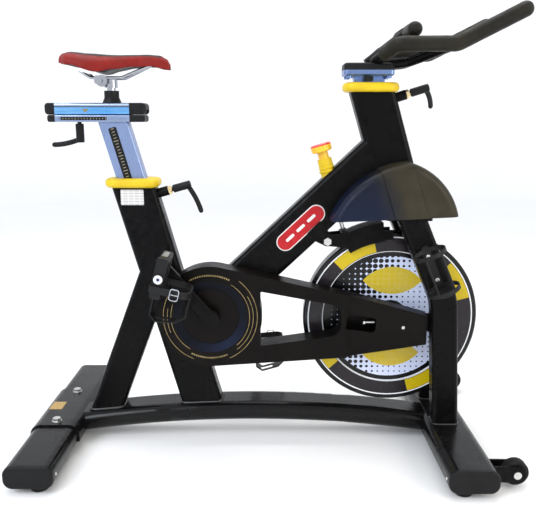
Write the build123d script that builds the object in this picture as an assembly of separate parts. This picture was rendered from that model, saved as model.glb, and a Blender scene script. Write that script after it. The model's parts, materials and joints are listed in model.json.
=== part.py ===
from build123d import *
from math import cos, radians, sin, tan
import os

# An indoor-cycling bicycle. Millimetres. +X points to the front, +Z is up, and the floor is z = 0.
# The belt drive is on the right-hand side, which is -Y. The origin lies on the floor, halfway
# between the rearmost edge of the rear foot's plate and the foremost edge of the transport wheels.

# ---- Driving dimensions: where the main pieces stand -------------------------------------------
REAR_FOOT_BEHIND = 399.0        # crank axis back to the middle of the rear foot
FRONT_FOOT_AHEAD = 605.0        # crank axis forward to the middle of the front foot
CRANK_Z = 352.0                 # crank axis above the floor
FLYWHEEL_AHEAD = 460.0          # crank axis forward to the flywheel axis
FLYWHEEL_Z = 330.0
SEAT_LEAN = 15.6                # degrees back from the vertical
SEAT_AXIS_BEHIND = 103.0        # crank axis back to the seat tube's middle, level with the cranks
SEAT_TUBE_TOP_Z = 668.0
HEAD_LEAN = 16.9
HEAD_AXIS_AHEAD = 564.0         # crank axis forward to the head tube's middle line, level with it
HEAD_TUBE_TOP_Z = 899.0
DOWN_TUBE_SLOPE = 43.5          # degrees above the horizontal
STRUT_LEAN = 21.0               # degrees forward from the vertical
STRUT_TOP_Z = 470.0

# ---- Frame sections ----------------------------------------------------------------------------
MAIN_TUBE_W = 105.0             # seat, down and head tubes, measured in the plane of the bicycle
MAIN_TUBE_D = 60.0              # the same tubes across the bicycle
MAIN_TUBE_R = 14.0
STRUT_W = 80.0
TUBE_WALL = 3.0
LEG_W = 65.0
LEG_D = 50.0
LEG_R = 12.0
LEG_SPACING = 154.0             # between the middles of the two fork legs
CROWN_L = 112.0
CROWN_H = 38.0
CROWN_Z = 615.0                 # middle of the fork crown
BEAM_W = 100.0
BEAM_H = 50.0
BEAM_R = 22.0
BEAM_RISE = 40.0                # how far the base beam arches above its ends

# ---- Feet --------------------------------------------------------------------------------------
FOOT_W = 115.0
FOOT_H = 55.0
FOOT_R = 22.0
REAR_FOOT_LENGTH = 624.0
FRONT_FOOT_LENGTH = 664.0
FOOT_CAP_T = 12.0               # the part of an end cap that stands outside its tube
PAD_R = 21.0
PAD_H = 15.0
PAD_INSET = 34.0                # from the end of the foot to the middle of a rubber pad
FOOT_PLATE_T = 5.0
FOOT_PLATE_L = 228.0
FOOT_BOLT_SPACING = 184.0
FOOT_BOLT_R = 6.0
FOOT_BOLT_HEAD_R = 10.5

# ---- Transport wheels --------------------------------------------------------------------------
WHEEL_AHEAD = 109.0             # front foot's middle forward to the wheel axis
WHEEL_R = 30.0
WHEEL_W = 26.0
WHEEL_Z = 38.0
WHEEL_AXLE_R = 5.0
WHEEL_FROM_END = 62.0           # from the end of the front foot to the wheel's middle
BRACKET_T = 4.0

# ---- Cranks, pedals and drive ------------------------------------------------------------------
SHELL_R = 29.0
SPINDLE_R = 10.0
BEARING_R = 24.0
BEARING_W = 14.0
CRANK_LENGTH = 165.0
CRANK_ANGLE = 130.0             # right crank, degrees above the forward direction
CRANK_T = 14.0
CRANK_FACE_Y = 94.0             # inner face of a crank arm from the middle plane
CRANK_BOSS_R = 23.0
CRANK_TIP_R = 15.0
PEDAL_AXLE_R = 7.0
PEDAL_L = 98.0                  # along the foot
PEDAL_W = 88.0                  # across the foot
PEDAL_H = 26.0
PEDAL_STANDOFF = 9.0            # crank arm's outer face to the pedal body
RIGHT_PEDAL_TILT = 256.0        # direction in which each pedal's toe end hangs, degrees above +X
LEFT_PEDAL_TILT = 276.0
TOE_REACH = 62.0                # toe cage beyond the pedal's front edge
TOE_HEIGHT = 66.0               # toe cage above the pedal's tread
TOE_BAND_W = 18.0
TOE_BAND_T = 3.0
TOE_SIDE_GAP = 3.0              # strap to the side of the pedal
STRAP_W = 16.0
STRAP_BACK = 24.0               # pedal's front edge back to the middle of the strap
STRAP_TOP_R = 26.0
BELT_PLANE_Y = 43.0
BELT_W = 12.0
BELT_T = 4.0
DRIVE_PULLEY_R = 104.0
DRIVEN_PULLEY_R = 26.0
PULLEY_W = 15.0
BELT_GAP = 0.3

# ---- Flywheel ----------------------------------------------------------------------------------
FLYWHEEL_R = 225.0
RIM_W = 40.0
RIM_DEPTH = 50.0                # the heavy rim, measured inwards from the edge
WEB_W = 30.0
AXLE_R = 7.5
AXLE_BORE_R = 17.5              # seat of the two bearings
HUB_BEARING_W = 11.0
HUB_BEARING_Y = 9.0             # middle of each flywheel bearing from the middle plane
AXLE_LENGTH = 140.0
DROPOUT_T = 8.0
DROPOUT_Y = 58.0                # middle of each dropout plate
DROPOUT_H = 46.0
DROPOUT_BACK = 46.0             # flywheel axis back to the rear edge of a dropout

# ---- Belt guard --------------------------------------------------------------------------------
GUARD_R = 129.0
GUARD_WALL = 3.0
GUARD_OUTER_Y = 88.0            # outer face round the cranks
GUARD_FRONT_Y = 76.0            # outer face beside the flywheel
GUARD_SPLIT_Y = 34.0            # where the outer half meets the inner half
GUARD_STEP_AHEAD = 336.0        # crank axis forward to the step in the outer face
GUARD_END_AHEAD = 544.0
GUARD_RECESS_R = 92.0
GUARD_DISC_R = 71.0
GUARD_RECESS_T = 7.0

# ---- Fender ------------------------------------------------------------------------------------
FENDER_HALF_W = 112.0
FENDER_WALL = 3.0
FENDER_EDGE_R = 20.0
FENDER_BAND_T = 3.0             # how far the raised band stands out

# ---- Brake -------------------------------------------------------------------------------------
KNOB_LEAN = 16.0
KNOB_AHEAD = 294.0              # crank axis forward to the knob, where it leaves the down tube
KNOB_R = 26.0
KNOB_H = 20.0
NECK_R = 13.5
HOUSING_R = 21.0
HOUSING_H = 40.0
ROD_R = 5.0
PIVOT_DROP = 17.0               # pivot below the down tube's lower face
PIVOT_AHEAD = 293.0             # crank axis forward to the brake pivot
PIVOT_R = 6.0
CALIPER_GAP = 5.0               # caliper cheek to the side of the rim
CALIPER_T = 4.4
CALIPER_TOP_GAP = 22.0          # bridge of the caliper above the rim
EAR_T = 6.0
MAGNET_T = 3.0

# ---- Seat --------------------------------------------------------------------------------------
POST_W = 70.0
POST_D = 40.0
POST_R = 4.0
POST_WALL = 3.0
POST_FIT = 0.3                  # running gap between a post and its sleeve, all round
SEAT_POST_IN = 300.0            # length of seat post held inside the seat tube
RAIL_Z = 828.0                  # underside of the slide rail
RAIL_L = 181.0
RAIL_W = 60.0
RAIL_H = 17.0
RAIL_AHEAD_OF_POST = -47.0      # rail's middle from the post's middle, at the rail's underside
CARRIAGE_H = 28.0
SLIDE_GAP = 0.6
T_HEAD_W = 34.0
T_HEAD_H = 7.0
T_NECK_W = 18.0
T_NECK_H = 5.0
REAR_CAP_L = 26.0
FRONT_CAP_L = 40.0
PIN_BEHIND_FRONT = 47.0         # front end of the carriage back to the saddle pin
PIN_R = 10.5
PIN_TOP_ABOVE = 56.0            # top of the saddle pin above the carriage
SOCKET_H = 29.0
SADDLE_L = 268.0
SADDLE_W = 148.0
SADDLE_NOSE_W = 44.0
SADDLE_TOP_Z = 990.0
SADDLE_TAIL_BEHIND = 122.0      # saddle pin back to the tail of the saddle
SADDLE_RAIL_R = 3.6
SADDLE_RAIL_SPACING = 44.0
SOFT_GAP = 0.4                  # a soft solid to the piece that carries it

# ---- Handlebar ---------------------------------------------------------------------------------
BAR_POST_IN = 190.0
BAR_POST_OUT = 15.0             # handlebar post standing out of the head tube's collar
FLANGE_L = 121.0
FLANGE_W = 74.0
FLANGE_T = 13.0
MOUNT_T = 17.0
BAR_R = 12.5
FOAM_R = 17.5
FOAM_FIT = 0.2
HORN_SPREAD = 135.0             # each horn's distance from the middle plane
CROSS_HALF = 104.0              # middle plane to the foam's rounded end on the cross grip
CROSS_BAR_HALF = 92.0           # middle plane to the end of the cross tube inside it
LOWER_TUBE_R = 13.0

# ---- Clamps ------------------------------------------------------------------------------------
COLLAR_H = 23.0
COLLAR_OVER = 13.0              # collar bumper beyond the tube on each side
SLEEVE_L = 130.0
SLEEVE_FIT = 0.2
BOSS_R = 12.0
BOSS_L = 26.0
LEVER_PIN_R = 5.0
LEVER_FIT = 0.05
LEVER_BARREL_R = 10.0
LEVER_BARREL_L = 46.0
LEVER_ARM_L = 72.0
LEVER_ARM_R = 4.6

# ---- Fits and small hardware --------------------------------------------------------------------
RUNNING_FIT = 0.05              # radial clearance of a shaft in its bearing
CLEAR = 0.3                     # plain clearance between neighbouring pieces

# ---- Bottle cage ---------------------------------------------------------------------------------
BOTTLE_R = 37.0
CAGE_WIRE_R = 2.6
CAGE_DOWN_LEG = 78.0            # top of the fork leg down to the upper hoop
CAGE_HEIGHT = 96.0

# ---- Places worked out from the values above ----------------------------------------------------
REAR_REACH = REAR_FOOT_BEHIND + FOOT_W / 2 + FOOT_PLATE_T
FRONT_REACH = FRONT_FOOT_AHEAD + WHEEL_AHEAD + WHEEL_R
CRANK_X = (REAR_REACH - FRONT_REACH) / 2
REAR_FOOT_X = CRANK_X - REAR_FOOT_BEHIND
FRONT_FOOT_X = CRANK_X + FRONT_FOOT_AHEAD
FLYWHEEL_X = CRANK_X + FLYWHEEL_AHEAD
FOOT_Z = PAD_H + FOOT_H / 2
LEG_Y = LEG_SPACING / 2
SEAT_UP = Vector(-sin(radians(SEAT_LEAN)), 0, cos(radians(SEAT_LEAN)))
HEAD_UP = Vector(-sin(radians(HEAD_LEAN)), 0, cos(radians(HEAD_LEAN)))
DOWN_DIR = Vector(cos(radians(DOWN_TUBE_SLOPE)), 0, sin(radians(DOWN_TUBE_SLOPE)))
DOWN_NORMAL = Vector(-DOWN_DIR.Z, 0, DOWN_DIR.X)
KNOB_UP = Vector(-sin(radians(KNOB_LEAN)), 0, cos(radians(KNOB_LEAN)))
CRANK_POINT = Vector(CRANK_X, 0, CRANK_Z)
FLYWHEEL_POINT = Vector(FLYWHEEL_X, 0, FLYWHEEL_Z)
Y_DIR = Vector(0, 1, 0)


def seat_axis(z):
    """Point on the seat tube's middle line at height z."""
    x = CRANK_X - SEAT_AXIS_BEHIND - (z - CRANK_Z) * tan(radians(SEAT_LEAN))
    return Vector(x, 0, z)


def head_axis(z):
    """Point on the head tube's middle line at height z."""
    x = CRANK_X + HEAD_AXIS_AHEAD - (z - CRANK_Z) * tan(radians(HEAD_LEAN))
    return Vector(x, 0, z)


def down_axis(x):
    """Point on the down tube's middle line at the fore-and-aft place x; it starts at the cranks."""
    return Vector(x, 0, CRANK_Z + (x - CRANK_X) * tan(radians(DOWN_TUBE_SLOPE)))


# ---- Shape helpers -----------------------------------------------------------------------------
def cross_plane(point, direction):
    """Plane at a point, square to a direction, whose local x runs across the bicycle."""
    return Plane(origin=point, x_dir=Y_DIR, z_dir=direction)


def side_plane(y):
    """Plane parallel to the middle plane: local x is forward, local y is up, normal is -Y."""
    return Plane(origin=(0, y, 0), x_dir=(1, 0, 0), z_dir=(0, -1, 0))


def bar(start, end, w, d, r):
    """Solid bar of rounded rectangular section, w in the bicycle's plane and d across it."""
    along = end - start
    return extrude(cross_plane(start, along) * RectangleRounded(d, w, r), along.length)


def tube(start, end, w, d, r, wall):
    """Hollow bar."""
    return bar(start, end, w, d, r) - bar(start, end, w - 2 * wall, d - 2 * wall, r - wall)


def rod(start, end, r):
    """Round rod between two points."""
    along = end - start
    return extrude(Plane(origin=start, z_dir=along) * Circle(r), along.length)


def ring(start, end, r_out, r_in):
    """Round tube between two points."""
    along = end - start
    return extrude(Plane(origin=start, z_dir=along) * (Circle(r_out) - Circle(r_in)), along.length)


def across(point, y0, y1, r):
    """Round rod parallel to Y through a point of the middle plane, from y0 to y1."""
    return rod(Vector(point.X, y0, point.Z), Vector(point.X, y1, point.Z), r)


def across_ring(point, y0, y1, r_out, r_in):
    """Round tube parallel to Y."""
    return across(point, y0, y1, r_out) - across(point, y0 - 1, y1 + 1, r_in)


def block(x0, x1, y0, y1, z0, z1):
    """Box given by its limits."""
    centre = ((x0 + x1) / 2, (y0 + y1) / 2, (z0 + z1) / 2)
    return Pos(*centre) * Box(x1 - x0, y1 - y0, z1 - z0)


def plate(face, y0, y1):
    """Extrudes a sketch drawn in side_plane coordinates between two Y values, y0 < y1."""
    return extrude(side_plane(y1) * face, y1 - y0)


def polar(centre, r, angle):
    """Point of the middle plane at a distance and an angle above +X from a centre."""
    return Vector(centre.X + r * cos(radians(angle)), 0, centre.Z + r * sin(radians(angle)))


def swept(path, section):
    """Sweeps a section along a path that it is square to at its start."""
    return sweep(Plane(origin=path @ 0, x_dir=Y_DIR, z_dir=path % 0) * section, path)


def group(*solids):
    """Separate solids that share one node."""
    return Compound(children=list(solids))


def hexagon_nut(point, direction, r, hole_r, thickness):
    """Plain nut with its hole."""
    plane = Plane(origin=point, z_dir=direction)
    return extrude(plane * (RegularPolygon(r, 6) - Circle(hole_r)), thickness)



# ---- Envelopes that several tubes are cut back to ----------------------------------------------
beam_path = ThreePointArc(
    (REAR_FOOT_X, 0, FOOT_Z - 5),
    ((REAR_FOOT_X + FRONT_FOOT_X) / 2, 0, FOOT_Z - 5 + BEAM_RISE),
    (FRONT_FOOT_X, 0, FOOT_Z - 5),
)


def beam_solid(shrink):
    """The arched base beam, or the same shape made smaller all round by shrink."""
    section = RectangleRounded(BEAM_W - 2 * shrink, BEAM_H - 2 * shrink, BEAM_R - shrink)
    return swept(beam_path, section)


def foot_solid(x, length, shrink):
    """A foot tube lying across the bicycle."""
    section = RectangleRounded(FOOT_W - 2 * shrink, FOOT_H - 2 * shrink, FOOT_R - shrink)
    return extrude(Plane(origin=(x, -length / 2, FOOT_Z), x_dir=(1, 0, 0), z_dir=(0, 1, 0)) * section, length)


beam_outer = beam_solid(0)
rear_foot_outer = foot_solid(REAR_FOOT_X, REAR_FOOT_LENGTH, 0)
front_foot_outer = foot_solid(FRONT_FOOT_X, FRONT_FOOT_LENGTH, 0)
seat_tube_outer = bar(seat_axis(SEAT_TUBE_TOP_Z), seat_axis(FOOT_Z), MAIN_TUBE_W, MAIN_TUBE_D, MAIN_TUBE_R)
head_tube_outer = bar(head_axis(HEAD_TUBE_TOP_Z), head_axis(CROWN_Z), MAIN_TUBE_W, MAIN_TUBE_D, MAIN_TUBE_R)
shell_half = MAIN_TUBE_D / 2


# ---- Frame -------------------------------------------------------------------------------------
def level_cut(z):
    """Everything above height z, for cutting a leaning tube off level."""
    return block(-900, 900, -400, 400, z, z + 400)


def boss_seat(axis_point, up):
    """Line on which a clamp lever stands: square to a tube's front face, in the middle plane."""
    out = Vector(up.Z, 0, -up.X)
    return axis_point + out * (MAIN_TUBE_W / 2), out


SEAT_LEVER_Z = SEAT_TUBE_TOP_Z - 30
HEAD_LEVER_Z = HEAD_TUBE_TOP_Z - 28
seat_boss_point, seat_boss_out = boss_seat(seat_axis(SEAT_LEVER_Z), SEAT_UP)
head_boss_point, head_boss_out = boss_seat(head_axis(HEAD_LEVER_Z), HEAD_UP)
BOSS_HOLE_R = LEVER_PIN_R + LEVER_FIT


def boss_hole(point, out):
    """Hole for a clamp lever's pin, from inside the tube out through the boss."""
    return rod(point - out * (TUBE_WALL + 2), point + out * (BOSS_L + 2), BOSS_HOLE_R)


def make_seat_tube():
    extended = seat_axis(SEAT_TUBE_TOP_Z + 40)
    body = tube(extended, seat_axis(FOOT_Z), MAIN_TUBE_W, MAIN_TUBE_D, MAIN_TUBE_R, TUBE_WALL)
    body -= level_cut(SEAT_TUBE_TOP_Z)
    body -= beam_outer
    body -= boss_hole(seat_boss_point, seat_boss_out)
    return largest(body)


def largest(shape):
    """The biggest solid of a cut shape; offcuts inside a neighbouring tube fall away."""
    return max(shape.solids(), key=lambda s: s.volume)


def make_rear_strut():
    lean = radians(STRUT_LEAN)
    top = seat_axis(STRUT_TOP_Z)
    foot = Vector(top.X - (STRUT_TOP_Z - FOOT_Z) * tan(lean), 0, FOOT_Z)
    body = tube(top, foot, STRUT_W, MAIN_TUBE_D, MAIN_TUBE_R, TUBE_WALL)
    body -= bar(seat_axis(SEAT_TUBE_TOP_Z), seat_axis(FOOT_Z), MAIN_TUBE_W, MAIN_TUBE_D, MAIN_TUBE_R)
    body -= beam_outer
    body -= bar(seat_axis(SEAT_TUBE_TOP_Z), seat_axis(FOOT_Z), MAIN_TUBE_W - 20, MAIN_TUBE_D + 20, 5)
    return largest(body)


def make_down_tube():
    start = down_axis(CRANK_X - 100)
    end = down_axis(head_axis(CROWN_Z + 90).X + 60)
    body = tube(start, end, MAIN_TUBE_W, MAIN_TUBE_D, MAIN_TUBE_R, TUBE_WALL)
    body -= seat_tube_outer
    body -= head_tube_outer
    body -= bar(seat_axis(SEAT_TUBE_TOP_Z), seat_axis(FOOT_Z), MAIN_TUBE_W - 20, MAIN_TUBE_D + 20, 5)
    body -= bar(head_axis(HEAD_TUBE_TOP_Z), head_axis(CROWN_Z - 60), MAIN_TUBE_W - 20, MAIN_TUBE_D + 20, 5)
    body -= across(CRANK_POINT, -shell_half - 1, shell_half + 1, SHELL_R)
    body -= rod(knob_base - KNOB_UP * 200, knob_base + KNOB_UP * 30, ROD_R + CLEAR + 1)
    return largest(body)


def make_head_tube():
    """Head tube with the fork crown that is welded under it."""
    body = tube(head_axis(HEAD_TUBE_TOP_Z + 40), head_axis(CROWN_Z), MAIN_TUBE_W, MAIN_TUBE_D, MAIN_TUBE_R, TUBE_WALL)
    body -= level_cut(HEAD_TUBE_TOP_Z)
    x = head_axis(CROWN_Z).X
    half_y = LEG_Y + LEG_D / 2
    crown = block(x - CROWN_L / 2, x + CROWN_L / 2, -half_y, half_y, CROWN_Z - CROWN_H / 2, CROWN_Z + CROWN_H / 2)
    crown = fillet(crown.edges().filter_by(Axis.Z), 12)
    body -= crown
    body = largest(body)
    body += crown
    body -= boss_hole(head_boss_point, head_boss_out)
    return body


leg_top = Vector(head_axis(CROWN_Z).X + 9, 0, CROWN_Z - CROWN_H / 2)
leg_bend = Vector(CRANK_X + 580, 0, CRANK_Z + 44)
leg_foot = Vector(FRONT_FOOT_X - 5, 0, FOOT_Z)


def leg_solid(side, shrink):
    """A fork leg: one tube with a single bend. side is -1 on the right, 1 on the left."""
    above = leg_top + (leg_top - leg_bend).normalized() * 30
    path = FilletPolyline((above.X, side * LEG_Y, above.Z), (leg_bend.X, side * LEG_Y, leg_bend.Z),
                          (leg_foot.X, side * LEG_Y, leg_foot.Z), radius=160)
    return swept(path, RectangleRounded(LEG_D - 2 * shrink, LEG_W - 2 * shrink, LEG_R - shrink))


def make_fork_leg(side):
    body = leg_solid(side, 0) - leg_solid(side, TUBE_WALL)
    body -= level_cut(leg_top.Z)
    body -= front_foot_outer
    return largest(body)


def make_base_beam():
    body = beam_outer - beam_solid(TUBE_WALL)
    body -= rear_foot_outer
    body -= front_foot_outer
    return largest(body)


def make_foot(x, length):
    inner = length - 2 * FOOT_CAP_T
    return foot_solid(x, inner, 0) - foot_solid(x, inner + 2, TUBE_WALL)


def make_rear_foot():
    body = make_foot(REAR_FOOT_X, REAR_FOOT_LENGTH)
    for y in (-FOOT_BOLT_SPACING / 2, FOOT_BOLT_SPACING / 2):
        body -= Pos(REAR_FOOT_X, y, FOOT_Z + FOOT_H / 2) * Cylinder(FOOT_BOLT_R, 3 * TUBE_WALL)
    return body


def make_foot_plate():
    """Bent plate that wraps the rear foot and takes the beam's end."""
    t = FOOT_PLATE_T
    half = FOOT_PLATE_L / 2
    plane = Plane(origin=(REAR_FOOT_X, -half, FOOT_Z), x_dir=(1, 0, 0), z_dir=(0, 1, 0))
    outer = extrude(plane * RectangleRounded(FOOT_W + 2 * t, FOOT_H + 2 * t, FOOT_R + t), 2 * half)
    body = outer - rear_foot_outer
    body -= block(REAR_FOOT_X - FOOT_W, REAR_FOOT_X + FOOT_W, -half - 1, half + 1, 0, FOOT_Z - FOOT_H / 2 + 14)
    body -= beam_outer
    for y in (-FOOT_BOLT_SPACING / 2, FOOT_BOLT_SPACING / 2):
        body -= Pos(REAR_FOOT_X, y, FOOT_Z + FOOT_H / 2) * Cylinder(FOOT_BOLT_R, 40)
    return largest(body)


def foot_cap(x, length, side):
    """End cap: a rounded cover with a plug inside the tube."""
    t = FOOT_CAP_T
    face_y = side * (length / 2 - t)
    plane = Plane(origin=(x, face_y, FOOT_Z), x_dir=(1, 0, 0), z_dir=(0, side, 0))
    cover = extrude(plane * RectangleRounded(FOOT_W, FOOT_H, FOOT_R), t)
    rim = cover.faces().sort_by(Axis.Y)[0 if side < 0 else -1].edges()
    cover = fillet(rim, 5)
    plug_r = FOOT_R - TUBE_WALL - CLEAR
    plug_size = TUBE_WALL + CLEAR
    plug = extrude(plane * RectangleRounded(FOOT_W - 2 * plug_size, FOOT_H - 2 * plug_size, plug_r), -18)
    return cover + plug


def make_foot_caps():
    caps = []
    for x, length in ((REAR_FOOT_X, REAR_FOOT_LENGTH), (FRONT_FOOT_X, FRONT_FOOT_LENGTH)):
        for side in (-1, 1):
            caps.append(foot_cap(x, length, side))
    return group(*caps)


def make_rubber_pads():
    pads = []
    for x, length, inward in ((REAR_FOOT_X, REAR_FOOT_LENGTH, 1), (FRONT_FOOT_X, FRONT_FOOT_LENGTH, -1)):
        for side in (-1, 1):
            y = side * (length / 2 - PAD_INSET)
            pad = Pos(x + inward * 16, y, PAD_H / 2) * Cylinder(PAD_R, PAD_H)
            pads.append(chamfer(pad.edges().sort_by(Axis.Z)[0:1], 2))
    return group(*pads)


# ---- Transport wheels --------------------------------------------------------------------------
wheel_x = FRONT_FOOT_X + WHEEL_AHEAD
wheel_y = FRONT_FOOT_LENGTH / 2 - WHEEL_FROM_END
WHEEL_SIDE_GAP = 1.5


def make_transport_brackets():
    """Two pairs of rounded cheeks, one pair either side of each wheel."""
    plates = []
    reach = wheel_x - FRONT_FOOT_X
    inner = WHEEL_W / 2 + WHEEL_SIDE_GAP
    profile = make_hull([*(Pos(wheel_x, WHEEL_Z) * Circle(20)).edges(),
                         *(Pos(wheel_x - reach + 30, WHEEL_Z + 2) * Circle(19)).edges()])
    for side in (-1, 1):
        for offset in (-inner - BRACKET_T, inner):
            y0 = side * wheel_y + offset
            cheek = plate(profile, y0, y0 + BRACKET_T) - front_foot_outer
            cheek = largest(cheek)
            cheek -= across(Vector(wheel_x, 0, WHEEL_Z), y0 - 1, y0 + BRACKET_T + 1, WHEEL_AXLE_R)
            plates.append(cheek)
    return group(*plates)


def make_transport_wheel(side):
    centre = Vector(wheel_x, 0, WHEEL_Z)
    y0 = side * wheel_y - WHEEL_W / 2
    body = across(centre, y0, y0 + WHEEL_W, WHEEL_R)
    body = fillet(body.edges(), 5)
    groove = across_ring(centre, y0 - 1, y0 + 3, 21, 13)
    body -= groove
    body -= across_ring(centre, y0 + WHEEL_W - 3, y0 + WHEEL_W + 1, 21, 13)
    return body - across(centre, y0 - 1, y0 + WHEEL_W + 1, WHEEL_AXLE_R + RUNNING_FIT)


def make_transport_axles():
    bolts = []
    centre = Vector(wheel_x, 0, WHEEL_Z)
    half = WHEEL_W / 2 + WHEEL_SIDE_GAP + BRACKET_T
    for side in (-1, 1):
        y = side * wheel_y
        bolt = across(centre, y - half, y + half, WHEEL_AXLE_R)
        bolt += across(centre, y - half - 4, y - half, WHEEL_AXLE_R + 4)
        bolt += across(centre, y + half, y + half + 5, WHEEL_AXLE_R + 4)
        bolts.append(bolt)
    return bolts


# ---- Bottom bracket, cranks and belt drive ------------------------------------------------------
BEARING_Y = shell_half - BEARING_W / 2 - 2
GUARD_CLEAR = 1.0


def make_bottom_bracket():
    body = across_ring(CRANK_POINT, -shell_half, shell_half, SHELL_R, BEARING_R)
    stop = across_ring(CRANK_POINT, -BEARING_Y + BEARING_W / 2, BEARING_Y - BEARING_W / 2, BEARING_R, BEARING_R - 3)
    return body + stop


def bearing(point, y, width, r_out, r_in):
    """Ball bearing drawn as one ring with a groove on each side between its races."""
    body = across_ring(point, y - width / 2, y + width / 2, r_out, r_in)
    mid = (r_out + r_in) / 2
    for face, direction in ((y - width / 2, 1), (y + width / 2, -1)):
        y0, y1 = sorted((face - direction, face + 1.2 * direction))
        body -= across_ring(point, y0, y1, mid + 2, mid - 2)
    return body


def make_bearings():
    """Two crank bearings seated in the shell and two flywheel bearings seated on the axle."""
    rings = []
    for side in (-1, 1):
        rings.append(bearing(CRANK_POINT, side * BEARING_Y, BEARING_W, BEARING_R, SPINDLE_R + RUNNING_FIT))
        rings.append(bearing(FLYWHEEL_POINT, side * HUB_BEARING_Y, HUB_BEARING_W, AXLE_BORE_R - RUNNING_FIT, AXLE_R))
    return group(*rings)


crank_outer_y = CRANK_FACE_Y + CRANK_T


def make_spindle():
    body = across(CRANK_POINT, -crank_outer_y + 2, crank_outer_y - 2, SPINDLE_R)
    return body


def make_drive_pulley():
    y0 = -BELT_PLANE_Y - PULLEY_W / 2
    y1 = -BELT_PLANE_Y + PULLEY_W / 2
    body = across(CRANK_POINT, y0, y1, DRIVE_PULLEY_R + 3)
    body -= across_ring(CRANK_POINT, y0 + 1.2, y1 - 1.2, DRIVE_PULLEY_R + 5, DRIVE_PULLEY_R)
    body -= across_ring(CRANK_POINT, y0 - 1, y0 + 4, DRIVE_PULLEY_R - 10, 26)
    body -= across_ring(CRANK_POINT, y1 - 4, y1 + 1, DRIVE_PULLEY_R - 10, 26)
    for k in range(6):
        hole = polar(CRANK_POINT, 62, 60 * k)
        body -= across(hole, y0 - 1, y1 + 1, 17)
    return body - across(CRANK_POINT, y0 - 1, y1 + 1, SPINDLE_R)


def make_driven_pulley():
    y0 = -BELT_PLANE_Y - PULLEY_W / 2
    y1 = -RIM_W / 2 + (RIM_W - WEB_W) / 2
    body = across(FLYWHEEL_POINT, y0, -BELT_PLANE_Y + PULLEY_W / 2, DRIVEN_PULLEY_R + 3)
    body -= across_ring(FLYWHEEL_POINT, y0 + 1.2, -BELT_PLANE_Y + PULLEY_W / 2 - 1.2,
                        DRIVEN_PULLEY_R + 5, DRIVEN_PULLEY_R)
    body += across(FLYWHEEL_POINT, y0 + 2, y1, DRIVEN_PULLEY_R - 3)
    return body - across(FLYWHEEL_POINT, y0 - 1, y1 + 1, AXLE_R + 1)


def make_belt():
    """Closed belt round both pulleys, clear of them by the running gap."""
    loops = []
    for extra in (BELT_GAP, BELT_GAP + BELT_T):
        big = Pos(CRANK_X, CRANK_Z) * Circle(DRIVE_PULLEY_R + extra)
        small = Pos(FLYWHEEL_X, FLYWHEEL_Z) * Circle(DRIVEN_PULLEY_R + extra)
        loops.append(make_hull([*big.edges(), *small.edges()]))
    outline = loops[1] - loops[0]
    return plate(outline, -BELT_PLANE_Y - BELT_W / 2, -BELT_PLANE_Y + BELT_W / 2)


def crank_tip(side):
    """End of the right (-1) or left (1) crank."""
    angle = CRANK_ANGLE if side < 0 else CRANK_ANGLE + 180
    return polar(CRANK_POINT, CRANK_LENGTH, angle)


def make_crank(side):
    tip = crank_tip(side)
    arm = make_hull([*(Pos(CRANK_X, CRANK_Z) * Circle(CRANK_BOSS_R - 4)).edges(),
                     *(Pos(tip.X, tip.Z) * Circle(CRANK_TIP_R)).edges()])
    y0, y1 = sorted((side * CRANK_FACE_Y, side * crank_outer_y))
    body = plate(arm, y0, y1)
    body = fillet(body.edges().filter_by(Axis.Y, reverse=True), 3)
    body += across(CRANK_POINT, y0, y1, CRANK_BOSS_R)
    body -= across(CRANK_POINT, *sorted((side * (CRANK_FACE_Y - 1), side * (crank_outer_y - 2))), SPINDLE_R)
    body += across_ring(CRANK_POINT, *sorted((side * (GUARD_OUTER_Y - 2), side * CRANK_FACE_Y)), 16, SPINDLE_R)
    return body - across(tip, y0 - 1, y1 + 1, PEDAL_AXLE_R + RUNNING_FIT)


def pedal_frame(side):
    """Local frame of a pedal: x towards the toe end, y up from the tread, z outwards."""
    tip = crank_tip(side)
    tilt = RIGHT_PEDAL_TILT if side < 0 else LEFT_PEDAL_TILT
    toe = Vector(cos(radians(tilt)), 0, sin(radians(tilt)))
    origin = Vector(tip.X, side * (crank_outer_y + PEDAL_STANDOFF + PEDAL_W / 2), tip.Z)
    return Plane(origin=origin, x_dir=toe, z_dir=(0, side, 0))


def pedal_block(side, x0, x1, y0, y1, z0, z1):
    """Box in a pedal's own frame, where up from the tread is always on the foot's side."""
    up = 1 if side < 0 else -1
    lo, hi = sorted((up * y0, up * y1))
    return pedal_frame(side) * block(x0, x1, lo, hi, z0, z1)


def make_pedal(side):
    half_l = PEDAL_L / 2
    half_w = PEDAL_W / 2
    half_h = PEDAL_H / 2
    body = pedal_block(side, -half_l, half_l, -half_h, half_h, -half_w, half_w)
    body = fillet(body.edges().filter_by(Axis.Y), 5)
    for x0 in (-half_l + 9, PEDAL_AXLE_R + 9):
        x1 = x0 + half_l - PEDAL_AXLE_R - 18
        body -= pedal_block(side, x0, x1, -half_h - 1, half_h + 1, -half_w + 10, -5)
        body -= pedal_block(side, x0, x1, -half_h - 1, half_h + 1, 5, half_w - 10)
    tip = crank_tip(side)
    inner_y, outer_y = sorted((side * (crank_outer_y - CRANK_T), side * (crank_outer_y + PEDAL_STANDOFF + 12)))
    body += across(tip, inner_y, outer_y, PEDAL_AXLE_R)
    cap_y = side * (crank_outer_y + PEDAL_STANDOFF + PEDAL_W)
    body += across(tip, *sorted((cap_y - side, cap_y + 4 * side)), 11)
    return body


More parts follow.
